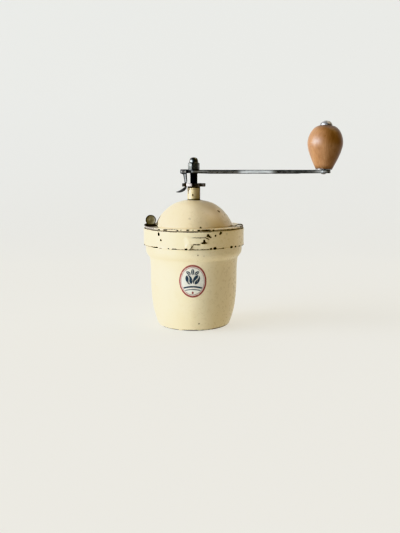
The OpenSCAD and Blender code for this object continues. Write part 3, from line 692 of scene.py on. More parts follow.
band_mat = enamel("band_enamel", 2,
                  chips=[(-34.2, -39.2, 98.5, 1.8), (-32.0, -41.0, 92.7, 1.30), (14.2, -50.0, 98.6, 1.05), (15.3, -49.6, 97.3, 1.15), (16.8, -49.1, 96.5, 0.85),
                         (13.4, -50.2, 97.6, 0.80), (21.4, -47.4, 97.9, 0.88), (26.8, -44.6, 100.3, 1.15), (25.9, -45.1, 99.3, 1.00), (10.3, -51.2, 91.5, 1.35)],
                  runs=[(10.3, 91.2, 3.0, 0.75, 0.0), (10.5, 92.4, 1.0, 2.1, 0.0), (1.4, 89.7, 1.5, 0.52, 0.0), (4.8, 89.7, 1.8, 0.60, 0.0), (13.2, 95.6, 2.0, 0.38, -0.55),
                        (-39.2, 84.95, 4.2, 0.80, 0.05), (-36.6, 85.1, 1.5, 1.00, 0.0), (-32.6, 84.7, 1.6, 0.70, 0.0), (-24.3, 84.85, 1.1, 0.75, 0.0), (-18.7, 84.75, 2.6, 0.82, 0.0),
                        (-7.1, 85.2, 1.35, 1.00, 0.0), (-3.4, 84.6, 1.4, 0.46, 0.0), (-0.6, 84.55, 1.3, 0.42, 0.0), (1.8, 84.5, 0.8, 0.38, 0.0), (4.0, 84.5, 1.1, 0.56, 0.0),
                        (8.4, 84.5, 1.35, 0.56, 0.0), (10.9, 84.5, 0.8, 0.46, 0.0), (14.0, 84.5, 1.3, 0.56, 0.0), (17.0, 85.1, 1.0, 0.90, 0.0), (20.9, 85.5, 1.45, 1.25, 0.0),
                        (29.0, 85.1, 0.9, 0.52, 0.0), (37.6, 85.4, 1.2, 1.05, 0.0), (41.8, 85.2, 0.8, 0.80, 0.0)],
                  stains=[(5.2, 96.3, 5.9, 0.34, 0.0), (-1.6, 87.1, 1.6, 0.60, 1.10), (-46.0, 85.0, 2.7, 0.62, 0.03), (-50.4, 85.3, 1.2, 0.75, 0.0), (-13.0, 84.7, 4.5, 0.28, 0.0),
                          # the three stains at z 101.45 to 101.6 darken the groove under the bead: soiling and painted
                          # shade
                          (6.0, 84.5, 12.0, 0.22, 0.0), (-31.5, 101.45, 20.5, 0.44, 0.0), (-4.0, 101.55, 9.5, 0.36, 0.01), (10.0, 101.6, 7.0, 0.22, 0.0), (25.0, 84.9, 5.0, 0.24, 0.0),
                          (46.2, 85.0, 1.0, 0.42, 0.0), (-42.5, 84.9, 1.5, 0.30, 0.0)],
                  faint=[(32.7, -40.4, 98.9, 0.8), (-36.9, -36.6, 98.9, 0.6), (-27.5, -44.1, 90.6, 0.5), (-35.6, -37.9, 96.2, 0.45)],
                  lines=[("z", 84.35, 0.62, 0.78, 0.16), ("z", 101.9, 0.42, 0.62, 0.12)], quiet_front=True,
                  specks=0.30, shade=0.32)


def ledge_dirt_and_shade(t, p, rad):
    """A dark grey patch on the bead and ledge at the far left, below the thumb disc, a greyish patch on the front left
    of the ledge, and soiling and painted shade in the groove under the bead.
    """
    wide = t.f("MULTIPLY", t.f("SUBTRACT", t.noise(p, 0.24, 4, 0.62), 0.5), 13.0)
    g = t.f("MULTIPLY", t.ramp(t.f("ADD", t.x, wide), -39.2, -36.4, 1.0, 0.0), t.ramp(t.noise(p, 0.5, 4, 0.6), 0.3, 0.6, 0.72, 0.97))
    n = t.f("MULTIPLY", t.f("SUBTRACT", t.noise(p, 0.4, 3, 0.6), 0.5), 0.7)
    foot = t.f("MULTIPLY", t.f("MULTIPLY", t.ramp(t.x, -40.2, -38.8), t.ramp(t.x, -36.0, -34.2, 1.0, 0.0)), t.f("MULTIPLY", t.ramp(t.noise(p, 0.45, 4, 0.62), 0.35, 0.6, 0.25, 0.9), t.ramp(t.y, -14.0, -10.0, 1.0, 0.0)))
    # soiling and painted shade in the groove under the bead, a little lighter towards the right
    low = t.f("MULTIPLY", t.ramp(t.f("ADD", t.z, n), 102.25, 102.6, 1.0, 0.0), t.ramp(t.x, 8.0, 20.0, 0.95, 0.75))
    return [(g, (0.150, 0.123, 0.111)), (foot, (0.20, 0.175, 0.135)), (low, (0.070, 0.050, 0.030))]


ledge_mat = enamel("ledge_enamel", 3,
                   runs=[(-33.9, 103.0, 1.0, 0.62, 0.0), (-27.6, 103.15, 2.0, 0.60, 0.0), (-15.4, 103.05, 1.0, 0.54, 0.0), (-12.0, 103.4, 0.6, 0.38, 0.0), (-5.3, 103.4, 1.35, 0.62, 0.0),
                         (-0.3, 103.4, 0.5, 0.38, 0.0), (5.4, 103.3, 1.6, 0.57, 0.0), (12.4, 103.3, 5.0, 0.68, 0.0), (19.4, 103.2, 1.0, 0.60, 0.0), (34.0, 102.75, 0.9, 0.50, 0.0),
                         (38.4, 102.6, 1.2, 0.55, 0.0), (44.4, 102.5, 1.2, 0.60, 0.0), (47.9, 103.7, 0.9, 0.50, 0.0)],
                   stains=[(-21.8, 103.7, 5.4, 0.34, 0.0), (28.0, 102.95, 9.0, 0.38, -0.01), (40.5, 102.6, 6.5, 0.46, 0.0), (-47.0, 102.5, 4.0, 0.4, 0.0)],
                   lines=[("z", 101.95, 0.42, 0.95, 0.10), ("r", 49.0, 0.30, 0.35, 0.10)], quiet_front=True, outer=48.7,
                   dirt_and_shade=ledge_dirt_and_shade, specks=0.30, shade=0.25)


def hatch_bare(t, p, rad):
    """The hatch's left edge is worn through, widest at its foot."""
    s = t.f("ADD", t.f("MULTIPLY", t.x, 0.17365), t.f("MULTIPLY", t.y, -0.98481))
    jag = t.f("MULTIPLY", t.f("SUBTRACT", t.noise(p, 0.7, 4, 0.65), 0.5), 1.8)
    wide = t.f("MULTIPLY", t.f("SUBTRACT", t.noise(p, 0.26, 4, 0.6), 0.5), 9.0)
    width = t.f("ADD", t.ramp(t.z, 104.5, 115.0, 11.0, 3.4, soft=False), t.f("MULTIPLY", wide, t.ramp(t.z, 104.0, 107.0)))
    left = t.f("MULTIPLY", t.ramp(t.f("SUBTRACT", t.f("ADD", s, jag), width), -0.5, 0.4, 0.84, 0.0), t.ramp(t.x, -20.0, -18.0, 1.0, 0.0))
    thin = t.f("MULTIPLY", t.ramp(t.f("ADD", t.f("ABSOLUTE", s), jag), 0.6, 0.9, 1.0, 0.0), t.ramp(rad, 16.0, 20.0))
    return t.f("MAXIMUM", t.f("MULTIPLY", left, t.ramp(t.f("ADD", t.z, t.f("MULTIPLY", wide, 0.5)), 114.0, 115.2, 1.0, 0.0)), thin)


def hatch_dirt_and_shade(t, p, rad):
    """Soiling and painted shade in the corner round the neck's foot, and painted shade as a tan darkening on the right
    shoulder.
    """
    # soiling and painted shade in the corner round the neck's foot
    g = t.f("MULTIPLY", t.ramp(rad, 7.5, 9.0, 1.0, 0.0), t.ramp(t.noise(p, 0.6, 3, 0.6), 0.3, 0.55, 0.5, 0.95))
    # painted shade: a tan darkening of the right shoulder, away from the window
    q = t.ramp(t.v("DISTANCE", t.v("MULTIPLY", t.p, (1, 1, 1.3)), (12.0, -9.0, 166.0)), 6.0, 26.0, 1.0, 0.0)
    return [(t.f("MULTIPLY", q, 0.22), (0.52, 0.42, 0.20)), (g, (0.10, 0.072, 0.042))]


hatch_mat = enamel("hatch_enamel", 4,
                   chips=[(25.6, -16.7, 119.3, 1.25), (7.1, -39.8, 105.0, 0.75), (-32.2, -24.0, 105.3, 0.55), (24.7, -17.2, 120.3, 0.75)],
                   faint=[(-4.0, -35.3, 113.5, 0.95), (-3.4, -35.6, 113.0, 0.6), (7.1, -39.8, 105.4, 0.7), (-16, -34, 109, 0.4)],
                   lines=[("z", 104.3, 0.34, 0.50, 0.13)], quiet_front=True, tone=(1.0, 0.968, 0.965),
                   dirt_and_shade=hatch_dirt_and_shade, bare=hatch_bare, specks=0.10)


def left_ear_bare(t, p, rad):
    return t.ramp(t.noise(p, 0.5, 4, 0.62), 0.20, 0.26)


def right_ear_bare(t, p, rad):
    """The strip's two sides and its curled end are rubbed bare."""
    jag = t.f("MULTIPLY", t.f("SUBTRACT", t.noise(p, 0.8, 4, 0.65), 0.5), 1.0)
    front = t.f("ADD", t.f("MULTIPLY", t.x, 0.30071), t.f("MULTIPLY", t.y, 0.95372))
    side = t.ramp(t.f("ADD", front, jag), 1.0, 1.5, 1.0, 0.0)
    foot = t.f("MULTIPLY", t.ramp(rad, 47.8, 49.4, 1.0, 0.0), 0.9)
    rise = t.f("MULTIPLY", t.ramp(rad, 43.2, 44.2), t.ramp(rad, 50.4, 51.4, 0.90, 0.35))
    low = t.ramp(t.f("ADD", t.z, jag), 103.2, 103.8, 0.75, 0.0)
    return t.f("MULTIPLY", t.f("MAXIMUM", t.f("MAXIMUM", side, foot), low), rise)


def right_ear_grime(t, p, rad):
    """Rust brown film on the curled end."""
    n = t.ramp(t.noise(p, 0.8, 3, 0.6), 0.25, 0.5, 0.55, 0.9)
    return [(t.f("MULTIPLY", t.ramp(rad, 44.8, 46.4), n), (0.115, 0.080, 0.050))]


ear_left_mat = enamel("ear_left_enamel", 8, bare=left_ear_bare, specks=0.5)
ear_right_mat = enamel("ear_right_enamel", 9, bare=right_ear_bare, dirt_and_shade=right_ear_grime, specks=0.4)

rear_mat = enamel("rear_enamel", 5,
                  lines=[("z", 104.3, 0.40, 0.55, 0.12)], specks=0.4)


def neck_dirt_and_shade(t, p, rad):
    """Painted shade as a brown film on the neck's right side and a dark line at its right edge, soiling and painted
    shade in a ring at the foot, and a painted shadow ring under the adjusting nut.
    """
    n = t.f("MULTIPLY", t.f("SUBTRACT", t.noise(p, 0.8, 3, 0.6), 0.5), 0.9)
    # soiling and painted shade in a ring at the foot, and a painted shadow ring under the adjusting nut
    low = t.ramp(t.f("ADD", t.z, n), 131.2, 132.3, 1.0, 0.0)
    top = t.ramp(t.f("ADD", t.z, n), 142.2, 142.7)
    # painted shade: a brown film over the right side and a darker line at the right edge
    side = t.f("MULTIPLY", t.ramp(t.f("ADD", t.x, t.f("MULTIPLY", t.f("SUBTRACT", t.noise(t.v("MULTIPLY", p, (1, 1, 2.5)), 0.35, 4, 0.6), 0.5), 4.0)), -2.8, 2.0), 0.74)
    rim = t.f("MULTIPLY", t.ramp(t.f("ADD", t.x, n), 5.5, 6.1), 0.85)
    ring = t.f("MULTIPLY", t.f("MAXIMUM", low, top), t.ramp(t.noise(p, 0.5, 3, 0.6), 0.3, 0.6, 0.65, 0.97))
    return [(side, (0.41, 0.31, 0.165)), (rim, (0.075, 0.055, 0.025)), (ring, (0.055, 0.040, 0.018))]


neck_mat = enamel("neck_enamel", 6,
                  chips=[(-1.0, -6.5, 135.4, 0.85)],
                  stains=[(-5.45, 139.4, 0.75, 3.1, 0.0), (-4.9, 141.4, 0.9, 1.2, 0.0), (1.2, 133.6, 2.2, 0.28, 0.0), (0.6, 141.0, 3.0, 0.16, 0.0)], back=-1.5,
                  lines=[("z", 143.2, 0.45, 0.75, 0.2)], tone=(0.77, 0.72, 0.565),
                  dirt_and_shade=neck_dirt_and_shade, specks=0.2)

badge_mat = transfer("badge_print")
wood_mat = turned_wood("turned_wood")


def arm_shade_and_highlight(t, p):
    """Painted shade along the arm's long corners, round the hub's left side and over the arm's right part; painted
    highlights as a long pale stripe on the middle of the arm and weaker ones elsewhere.
    """
    n = t.f("MULTIPLY", t.f("SUBTRACT", t.noise(p, 0.5, 3, 0.6), 0.5), 0.9)
    thick = t.f("MULTIPLY", t.ramp(t.x, 12.0, 17.0), t.ramp(t.x, 107.0, 112.0, 1.0, 0.0))
    d = t.f("SUBTRACT", t.f("ABSOLUTE", t.f("SUBTRACT", t.z, t.f("MULTIPLY_ADD", thick, -0.33, 159.3))), t.f("MULTIPLY", thick, 0.30))
    # painted shade: along the long corners, on the hub's left side and over the arm's right part
    e = t.ramp(t.f("ADD", d, n), 0.72, 1.25)
    hub = t.f("MULTIPLY", t.ramp(t.f("ADD", t.x, n), -3.0, -1.8, 1.0, 0.0), t.ramp(t.x, -8.0, -7.2))
    right = t.f("MULTIPLY", t.ramp(t.x, 82.0, 90.0), t.ramp(t.x, 119.0, 124.0, 1.0, 0.0))
    hub = t.f("MAXIMUM", hub, t.f("MULTIPLY", right, 0.50))
    e = t.f("MAXIMUM", t.f("MULTIPLY", e, t.ramp(t.noise(t.v("MULTIPLY", p, (0.2, 1, 1)), 0.12, 3, 0.6), 0.3, 0.6, 0.75, 1.0)), hub)
    # painted highlights: a long stripe on the middle, weaker ones by the knob, right of the hub and on the left tongue
    shine = t.f("MULTIPLY", t.ramp(t.x, 43.0, 51.0), t.ramp(t.x, 76.0, 85.0, 1.0, 0.0))
    shine = t.f("MAXIMUM", shine, t.f("MULTIPLY", t.f("MULTIPLY", t.ramp(t.x, 122.0, 127.0), t.ramp(t.x, 134.0, 138.0, 1.0, 0.0)), 0.5))
    shine = t.f("MAXIMUM", shine, t.f("MULTIPLY", t.f("MULTIPLY", t.ramp(t.x, 0.0, 4.0), t.ramp(t.x, 13.0, 16.0, 1.0, 0.0)), 0.18))
    shine = t.f("MAXIMUM", shine, t.f("MULTIPLY", t.ramp(t.x, -9.0, -8.0, 1.0, 0.0), 0.55))
    shine = t.f("MULTIPLY", shine, t.ramp(t.noise(t.v("MULTIPLY", p, (0.15, 1, 1)), 0.5, 3, 0.6), 0.25, 0.6, 0.75, 1.0))
    return e, (0.012, 0.011, 0.009), shine, (0.70, 0.70, 0.66)


def nut_shade_and_highlight(t, p):
    """Painted shade on the left end and right of the middle, painted highlights on the left face, on the right lobe's
    middle and in two stripes.
    """
    n = t.f("MULTIPLY", t.f("SUBTRACT", t.noise(p, 0.6, 3, 0.6), 0.5), 1.2)
    # painted shade: the left end and the part right of the middle, eased round the right lobe's middle
    e = t.ramp(t.f("ADD", t.x, n), -9.9, -9.0, 1.0, 0.0)
    e = t.f("MAXIMUM", e, t.f("MULTIPLY", t.ramp(t.f("ADD", t.x, n), -1.6, -0.6), 0.72))
    m = t.f("ADD", t.f("MULTIPLY", t.f("ABSOLUTE", t.f("SUBTRACT", t.x, 10.0)), 0.42), t.f("ABSOLUTE", t.f("SUBTRACT", t.z, 145.5)))
    e = t.f("MULTIPLY", e, t.ramp(t.f("ADD", m, t.f("MULTIPLY", n, 0.4)), 0.7, 1.3, 0.25, 1.0))
    # painted highlights: the left face, the right lobe's middle and two stripes
    flat = t.ramp(t.f("ADD", t.z, t.f("MULTIPLY", n, 0.5)), 144.6, 145.3)
    shine = t.f("MULTIPLY", t.ramp(t.f("ADD", t.x, n), -8.2, -6.0), t.ramp(t.f("ADD", t.x, n), -3.0, -1.4, 1.0, 0.0))
    shine = t.f("MULTIPLY", shine, t.f("MULTIPLY_ADD", flat, 0.40, 0.22))
    shine = t.f("MAXIMUM", shine, t.ramp(t.f("ADD", m, t.f("MULTIPLY", n, 0.4)), 0.5, 1.2, 0.24, 0.0))
    for x, w, k in ((5.0, 0.55, 0.42), (8.4, 1.0, 0.26)):
        shine = t.f("MAXIMUM", shine, t.ramp(t.f("ADD", t.f("ABSOLUTE", t.f("SUBTRACT", t.x, x)), t.f("MULTIPLY", n, 0.3)), w, w + 0.6, k, 0.0))
    return e, (0.013, 0.010, 0.007), shine, (0.70, 0.60, 0.53)


def lever_shade_and_highlight(t, p):
    """Painted highlights on the flat faces, with painted shade round them."""
    n = t.f("MULTIPLY", t.f("SUBTRACT", t.noise(p, 0.7, 3, 0.6), 0.5), 0.5)
    # painted highlights on the stem, the T-top and faintly low down; painted shade everywhere else
    stem = t.f("ABSOLUTE", t.f("ADD", t.x, t.f("MULTIPLY_ADD", t.f("SUBTRACT", t.z, 149.6), 0.10, 8.35)))
    m1 = t.f("MULTIPLY", t.ramp(t.f("ADD", stem, n), 0.55, 0.95, 1.0, 0.0), t.ramp(t.z, 156.0, 157.2, 1.0, 0.0))
    m1 = t.f("MULTIPLY", m1, t.ramp(t.z, 147.5, 149.0))
    m2 = t.f("MULTIPLY", t.ramp(t.f("ADD", t.f("ABSOLUTE", t.f("SUBTRACT", t.z, 159.2)), n), 0.85, 1.25, 1.0, 0.0),
             t.ramp(t.f("ADD", t.f("ABSOLUTE", t.f("ADD", t.x, 10.6)), n), 2.2, 2.7, 1.0, 0.0))
    m3 = t.f("MULTIPLY", t.ramp(t.f("ABSOLUTE", t.y), 1.7, 2.1, 1.0, 0.0), t.f("MULTIPLY", t.ramp(t.z, 140.5, 142.0, 1.0, 0.0), 0.12))
    shine = t.f("MAXIMUM", t.f("MAXIMUM", m1, m2), m3)
    return t.f("MULTIPLY", t.f("SUBTRACT", 1.0, shine), 0.72), (0.022, 0.021, 0.019), t.f("MULTIPLY", shine, 0.8), (0.66, 0.66, 0.64)


def disc_shade_and_reflection(t, p):
    """A painted dark shade round the rim and a thin painted reflection inside it on the right."""
    dx = t.f("ADD", t.x, 44.9)
    dz = t.f("SUBTRACT", t.z, 109.3)
    r = t.f("POWER", t.f("ADD", t.f("MULTIPLY", dx, dx), t.f("MULTIPLY", dz, dz)), 0.5)
    n = t.f("MULTIPLY", t.f("SUBTRACT", t.noise(p, 0.7, 3, 0.6), 0.5), 0.5)
    # painted shade round the rim, and a thin painted reflection inside it on the right
    e = t.ramp(t.f("ADD", r, n), 4.35, 4.75)
    line = t.f("MULTIPLY", t.ramp(t.f("ABSOLUTE", t.f("SUBTRACT", t.f("ADD", r, n), 3.85)), 0.1, 0.35, 1.0, 0.0), t.ramp(dx, 2.6, 3.4))
    return e, (0.030, 0.024, 0.014), t.f("MULTIPLY", line, 0.5), (0.50, 0.48, 0.40)


arm_mat = metal("arm_steel", (0.25, 0.245, 0.222), (0.060, 0.057, 0.049), patina=0.46, rusty=0.10, rough=(0.36, 0.48), seed=1, brush=(0.12, 2.4, 2.4), edge=arm_shade_and_highlight)
nut_mat = metal("star_nut_steel", (0.15, 0.14, 0.125), (0.035, 0.030, 0.024), patina=0.55, rusty=0.30, rough=(0.34, 0.5), seed=2, brush=(2.2, 2.2, 0.2), edge=nut_shade_and_highlight, film_metal=0.3)
shaft_mat = metal("shaft_steel", (0.030, 0.028, 0.027), (0.012, 0.011, 0.010), patina=0.7, rusty=0.15, rough=(0.45, 0.6), seed=3, brush=(0.8, 0.8, 3.0), film_metal=0.3)
acorn_mat = metal("acorn_steel", (0.135, 0.135, 0.126), (0.050, 0.049, 0.040), patina=0.50, rusty=0.08, rough=(0.24, 0.38), seed=4, film_metal=0.5)
cap_mat = metal("cap_steel", (0.52, 0.50, 0.48), (0.16, 0.15, 0.14), patina=0.40, rusty=0.08, rough=(0.34, 0.48), seed=5, metallic=0.8)
steel_mat = metal("bare_steel", (0.42, 0.41, 0.39), (0.12, 0.11, 0.10), patina=0.5, rusty=0.22, rough=(0.30, 0.48), seed=6)
lever_mat = metal("lever_steel", (0.30, 0.29, 0.28), (0.08, 0.074, 0.068), patina=0.48, rusty=0.22, rough=(0.34, 0.48), seed=7, edge=lever_shade_and_highlight)
spring_mat = metal("spring_steel", (0.12, 0.115, 0.11), (0.035, 0.033, 0.030), patina=0.5, rusty=0.22, rough=(0.34, 0.48), seed=12)
disc_mat = metal("disc_brass", (0.270, 0.215, 0.112), (0.222, 0.178, 0.093), rust=(0.11, 0.095, 0.05), patina=0.5, rusty=0.12, rough=(0.42, 0.5), seed=13, edge=disc_shade_and_reflection, metallic=0.25)
tin_mat = metal("tinned_steel", (0.60, 0.59, 0.56), (0.30, 0.28, 0.25), patina=0.4, rusty=0.12, rough=(0.32, 0.5), seed=8, brush=(2.0, 2.0, 0.4))
brass_mat = metal("aged_brass", (0.40, 0.34, 0.19), (0.135, 0.110, 0.060), rust=(0.07, 0.06, 0.03), patina=0.45, rusty=0.15, rough=(0.30, 0.5), seed=9, brush=(0.4, 2.0, 2.4))
iron_mat = metal("burr_iron", (0.30, 0.29, 0.28), (0.11, 0.10, 0.09), rust=(0.10, 0.05, 0.022), patina=0.55, rusty=0.35, rough=(0.36, 0.55), seed=10, brush=(0.6, 0.6, 2.0))
dark_mat = metal("dark_steel", (0.20, 0.19, 0.18), (0.045, 0.040, 0.036), patina=0.55, rusty=0.2, rough=(0.34, 0.5), seed=11)

# ------------------------------------------------------------------ pot


def pot_profile():
    outside = (bez((34.8, 0), (36.6, 0), (37.6, 0.6), (38.2, 2.2), 10)
               + bez((38.2, 2.2), (42.4, 14), (44.9, 24), (45, 48), 30)[1:]
               + bez((45, 50), (45, 53), (45, 55), (45, 58), 4)
               + bez((45, 58), (45.1, 65), (45.5, 69), (46.2, 71.6), 12)[1:]
               + bez((46.2, 71.6), (46.6, 73.0), (49.9, 74.6), (50, 79.5), 18)[1:]
               + [(50, 84), (50, 90), (50, 96), (50, 99.5)]
               + arc(49.72, 100.72, 0.28, 0, 90, 4))
    inside = (bez((33.8, 0.9), (35.6, 0.9), (36.6, 1.5), (37.5, 3.4), 8)
              + bez((37.6, 3.8), (41.5, 14.6), (44.0, 24.6), (44.1, 48.4), 26)
              + [(44.1, 54)]
              + bez((44.1, 58), (44.2, 65), (44.5, 69.3), (45.2, 72), 10)
              + bez((45.3, 72.3), (45.8, 73.8), (48.9, 75.4), (49.1, 79.8), 14)
              + [(49.1, 84), (49.1, 90), (49.1, 96), (49.1, 99.8)]
              + arc(49.4, 100.7, 0.3, 180, 90, 4))
    under = rounded([(34.8, 0), (27.8, 0), (26.8, 0.8), (15.2, 0.8), (14.2, 0), (0, 0)], 0.9, 4, closed=False)[1:]
    floor = rounded([(33.8, 0.9), (28.2, 0.9), (27.2, 1.7), (14.8, 1.7), (13.8, 0.9), (0, 0.9)], 0.9, 4, closed=False)[1:]
    return list(reversed(under)) + outside + list(reversed(inside)) + floor


v, f = lathe(pot_profile(), 288, closed=False)
# a little hand-worn unevenness of the drawn steel, and two shallow dents
dents = [((-36.0, 27.0, 30.0), 9.0, 0.30), ((28.0, 36.5, 20.0), 7.0, 0.25), ((41.0, -22.0, 33.0), 8.0, 0.16)]
w = []
for x, y, z in v:
    r = math.hypot(x, y)
    if r > 30 and 2.5 < z < 74:
        k = min(1, (z - 2.5) / 6, (74 - z) / 6)
        d = 0.045 * k * noise.noise(Vector((x, y, z)) * 0.045)
        for c, rad_, dep in dents:
            q = math.dist((x, y, z), c) / rad_
            if q < 1:
                d -= dep * (1 - q * q) ** 2
        d = min(d, 0.02)
        x, y = x * (r + d) / r, y * (r + d) / r
    w.append((x, y, z))
pot = piece("pot", w, f, pot_mat, "pot", "cream_enamel", ["pot_shell"], sharp=50)

# the badge: a thin printed film on the pot's front


side_line = bez((38.2, 2.2), (42.4, 14), (44.9, 24), (45, 48), 60) + [(45, 58)] + bez((45, 58), (45.1, 65), (45.5, 69), (46.2, 71.6), 24)[1:]


def pot_radius(z):
    for (r0, z0), (r1, z1) in zip(side_line, side_line[1:]):
        if z0 <= z <= z1:
            return r0 + (r1 - r0) * (z - z0) / (z1 - z0)
    return 45.0


def badge_mesh():
    rings, cols = 26, 96
    verts, faces = [], []

    def at(u, vv, lift):
        z = BZ + vv
        r = pot_radius(z) + lift
        a = (BX + u) / 45.2
        return (r * math.sin(a), -r * math.cos(a), z)

    verts.append(at(0, 0, 0.085))
    for i in range(1, rings + 1):
        k = i / rings
        lift = 0.085 if i < rings else 0.06
        for j in range(cols):
            a = TAU * j / cols
            verts.append(at(BA * k * math.cos(a), BB * k * math.sin(a), lift))
    for j in range(cols):
        verts.append(at(BA * 1.004 * math.cos(TAU * j / cols), BB * 1.004 * math.sin(TAU * j / cols), -0.05))
    for j in range(cols):
        faces.append([0, 1 + j, 1 + (j + 1) % cols])
    for i in range(rings):
        a, b = 1 + i * cols, 1 + (i + 1) * cols
        for j in range(cols):
            k = (j + 1) % cols
            faces.append([a + j, b + j, b + k, a + k])
    # back of the film, inside the pot's wall
    back = len(verts)
    for vtx in verts[:1 + rings * cols]:
        x, y, z = vtx
        r = math.hypot(x, y)
        s = (pot_radius(z) - 0.05) / r
        verts.append((x * s, y * s, z))
    for j in range(cols):
        faces.append([back, back + 1 + (j + 1) % cols, back + 1 + j])
    for i in range(rings - 1):
        a, b = back + 1 + i * cols, back + 1 + (i + 1) * cols
        for j in range(cols):
            k = (j + 1) % cols
            faces.append([a + j, a + k, b + k, b + j])
    a, b = back + 1 + (rings - 1) * cols, 1 + rings * cols
    for j in range(cols):
        k = (j + 1) % cols
        faces.append([a + j, a + k, b + k, b + j])
    return verts, faces


v, f = badge_mesh()
badge = piece("badge", v, f, badge_mat, "pot", "cream_enamel", sharp=60)

# ------------------------------------------------------------------ collar band with its pressed pockets


def pocket_outline(grow=0.0):
    left, right, top, low, r, fl = -3.2, 18.6, 96.2, 89.4, 2.6, 1.6
    pts = [(left, 70), (-left, 70)]
    pts += arc(-left + fl, low - fl, fl, 180, 90, 8)
    pts += arc(right - r, low + r, r, -90, 0, 8)
    pts += arc(right - r, top - r, r, 0, 90, 8)
    pts += arc(left + r, top - r, r, 90, 180, 8)
    return pts


def band_grid():
    b = 52.0
    az = []
    for k in range(3):
        c = 265 + 120 * k
        a0, a1 = c - math.degrees(5.2 / b), c + math.degrees(20.6 / b)
        n = 84
        az += [a0 + (a1 - a0) * i / n for i in range(n + 1)]
        nxt = c + 120 - math.degrees(5.2 / b)
        n = 62
        az += [a1 + (nxt - a1) * i / n for i in range(1, n)]
    az = np.radians(np.array(az))
    outer = rounded([(51.15, 84.3), (52.2, 84.3), (52.2, 85.2), (52.0, 85.6)], [0.3, 0.3, 0.25, 0.2], 4, closed=False)
    outer = [(51.35, 84.3)] + outer[1:]
    wall = [(52.0, 85.6 + (101.1 - 85.6) * i / 46) for i in range(1, 47)]
    top = [(51.97, 101.4), (51.85, 101.66), (51.62, 101.82), (51.2, 101.9), (50.4, 101.9), (49.8, 101.88), (49.62, 101.7), (49.6, 101.4), (49.7, 101.15), (50.0, 101.1), (50.9, 101.1), (51.06, 101.0), (51.1, 100.8)]
    inner = [(51.1, 100.6 - (100.6 - 85.2) * i / 34) for i in range(35)] + [(51.1, 84.8), (51.14, 84.5), (51.22, 84.34)]
    prof = outer + wall + top + inner
    kinds = ["o"] * (len(outer) + len(wall)) + ["t"] * len(top) + ["i"] * len(inner)
    Z = np.array([q[1] for q in prof])
    R = np.array([q[0] for q in prof])
    grid = np.repeat(R[:, None], len(az), 1)
    ZZ = np.repeat(Z[:, None], len(az), 1)
    AA = np.repeat(az[None, :], len(prof), 0)
    poly = pocket_outline()
    for k in range(3):
        c = math.radians(265 + 120 * k)
        U = ((AA - c + PI) % TAU - PI) * b
        sel = (U > -7) & (U < 23)
        sd = poly_sdf(poly, U, ZZ)
        # the press left the pocket's blind side soft
        sd = sd / (1 + 5.0 * sstep(7.0, -1.5, U) * sstep(87.5, 90.5, ZZ))
        ho = 1.2 * sstep(0.45, -0.75, sd)
        hi = 1.3 * sstep(-0.15, -1.35, sd)
        for row, kind in enumerate(kinds):
            m = sel[row]
            if kind == "o":
                target = b + ho[row]
                grid[row] = np.where(m & (ho[row] > 0.02), np.maximum(np.minimum(grid[row], 52.2), target), grid[row])
                if row < len(outer):
                    # the hem dies out at a pocket's entry, and the entry's lip keeps the sheet's thickness
                    base = R[row]
                    lift = sstep(0.45, -0.75, sd[row]) * 1.0
                    grid[row] = np.where(m, base + lift * (1.0 if base > 51.9 else 0.95), grid[row])
            elif kind == "i":
                grid[row] = np.where(m, grid[row] + hi[row], grid[row])
    verts = []
    for j in range(len(prof)):
        for i in range(len(az)):
            verts.append((grid[j, i] * math.cos(az[i]), grid[j, i] * math.sin(az[i]), Z[j]))
    faces = []
    n, m = len(az), len(prof)
    for j in range(m):
        for i in range(n):
            a, c = j * n, ((j + 1) % m) * n
            k = (i + 1) % n
            faces.append([a + i, a + k, c + k, c + i])
    return verts, faces


v, f = band_grid()
band = piece("collar", v, f, band_mat, "head", "cream_enamel", ["collar_band"], sharp=55)

# ------------------------------------------------------------------ rim ledge

ledge_prof = (arc(34.4, 103.6, 0.4, 270, 90, 8) + [(37, 104.0), (40, 104.0), (44, 104.0), (47.5, 104.0), (49.1, 104.0)]
              + arc(50.2, 103.1, 1.15, 118, -172, 30) + [(48.9, 103.2), (44, 103.2), (39, 103.2)])
v, f = lathe(ledge_prof, 300)
ledge = piece("ledge", v, f, ledge_mat, "head", "cream_enamel", ["rim_ledge"], sharp=60)

# ------------------------------------------------------------------ dome shells


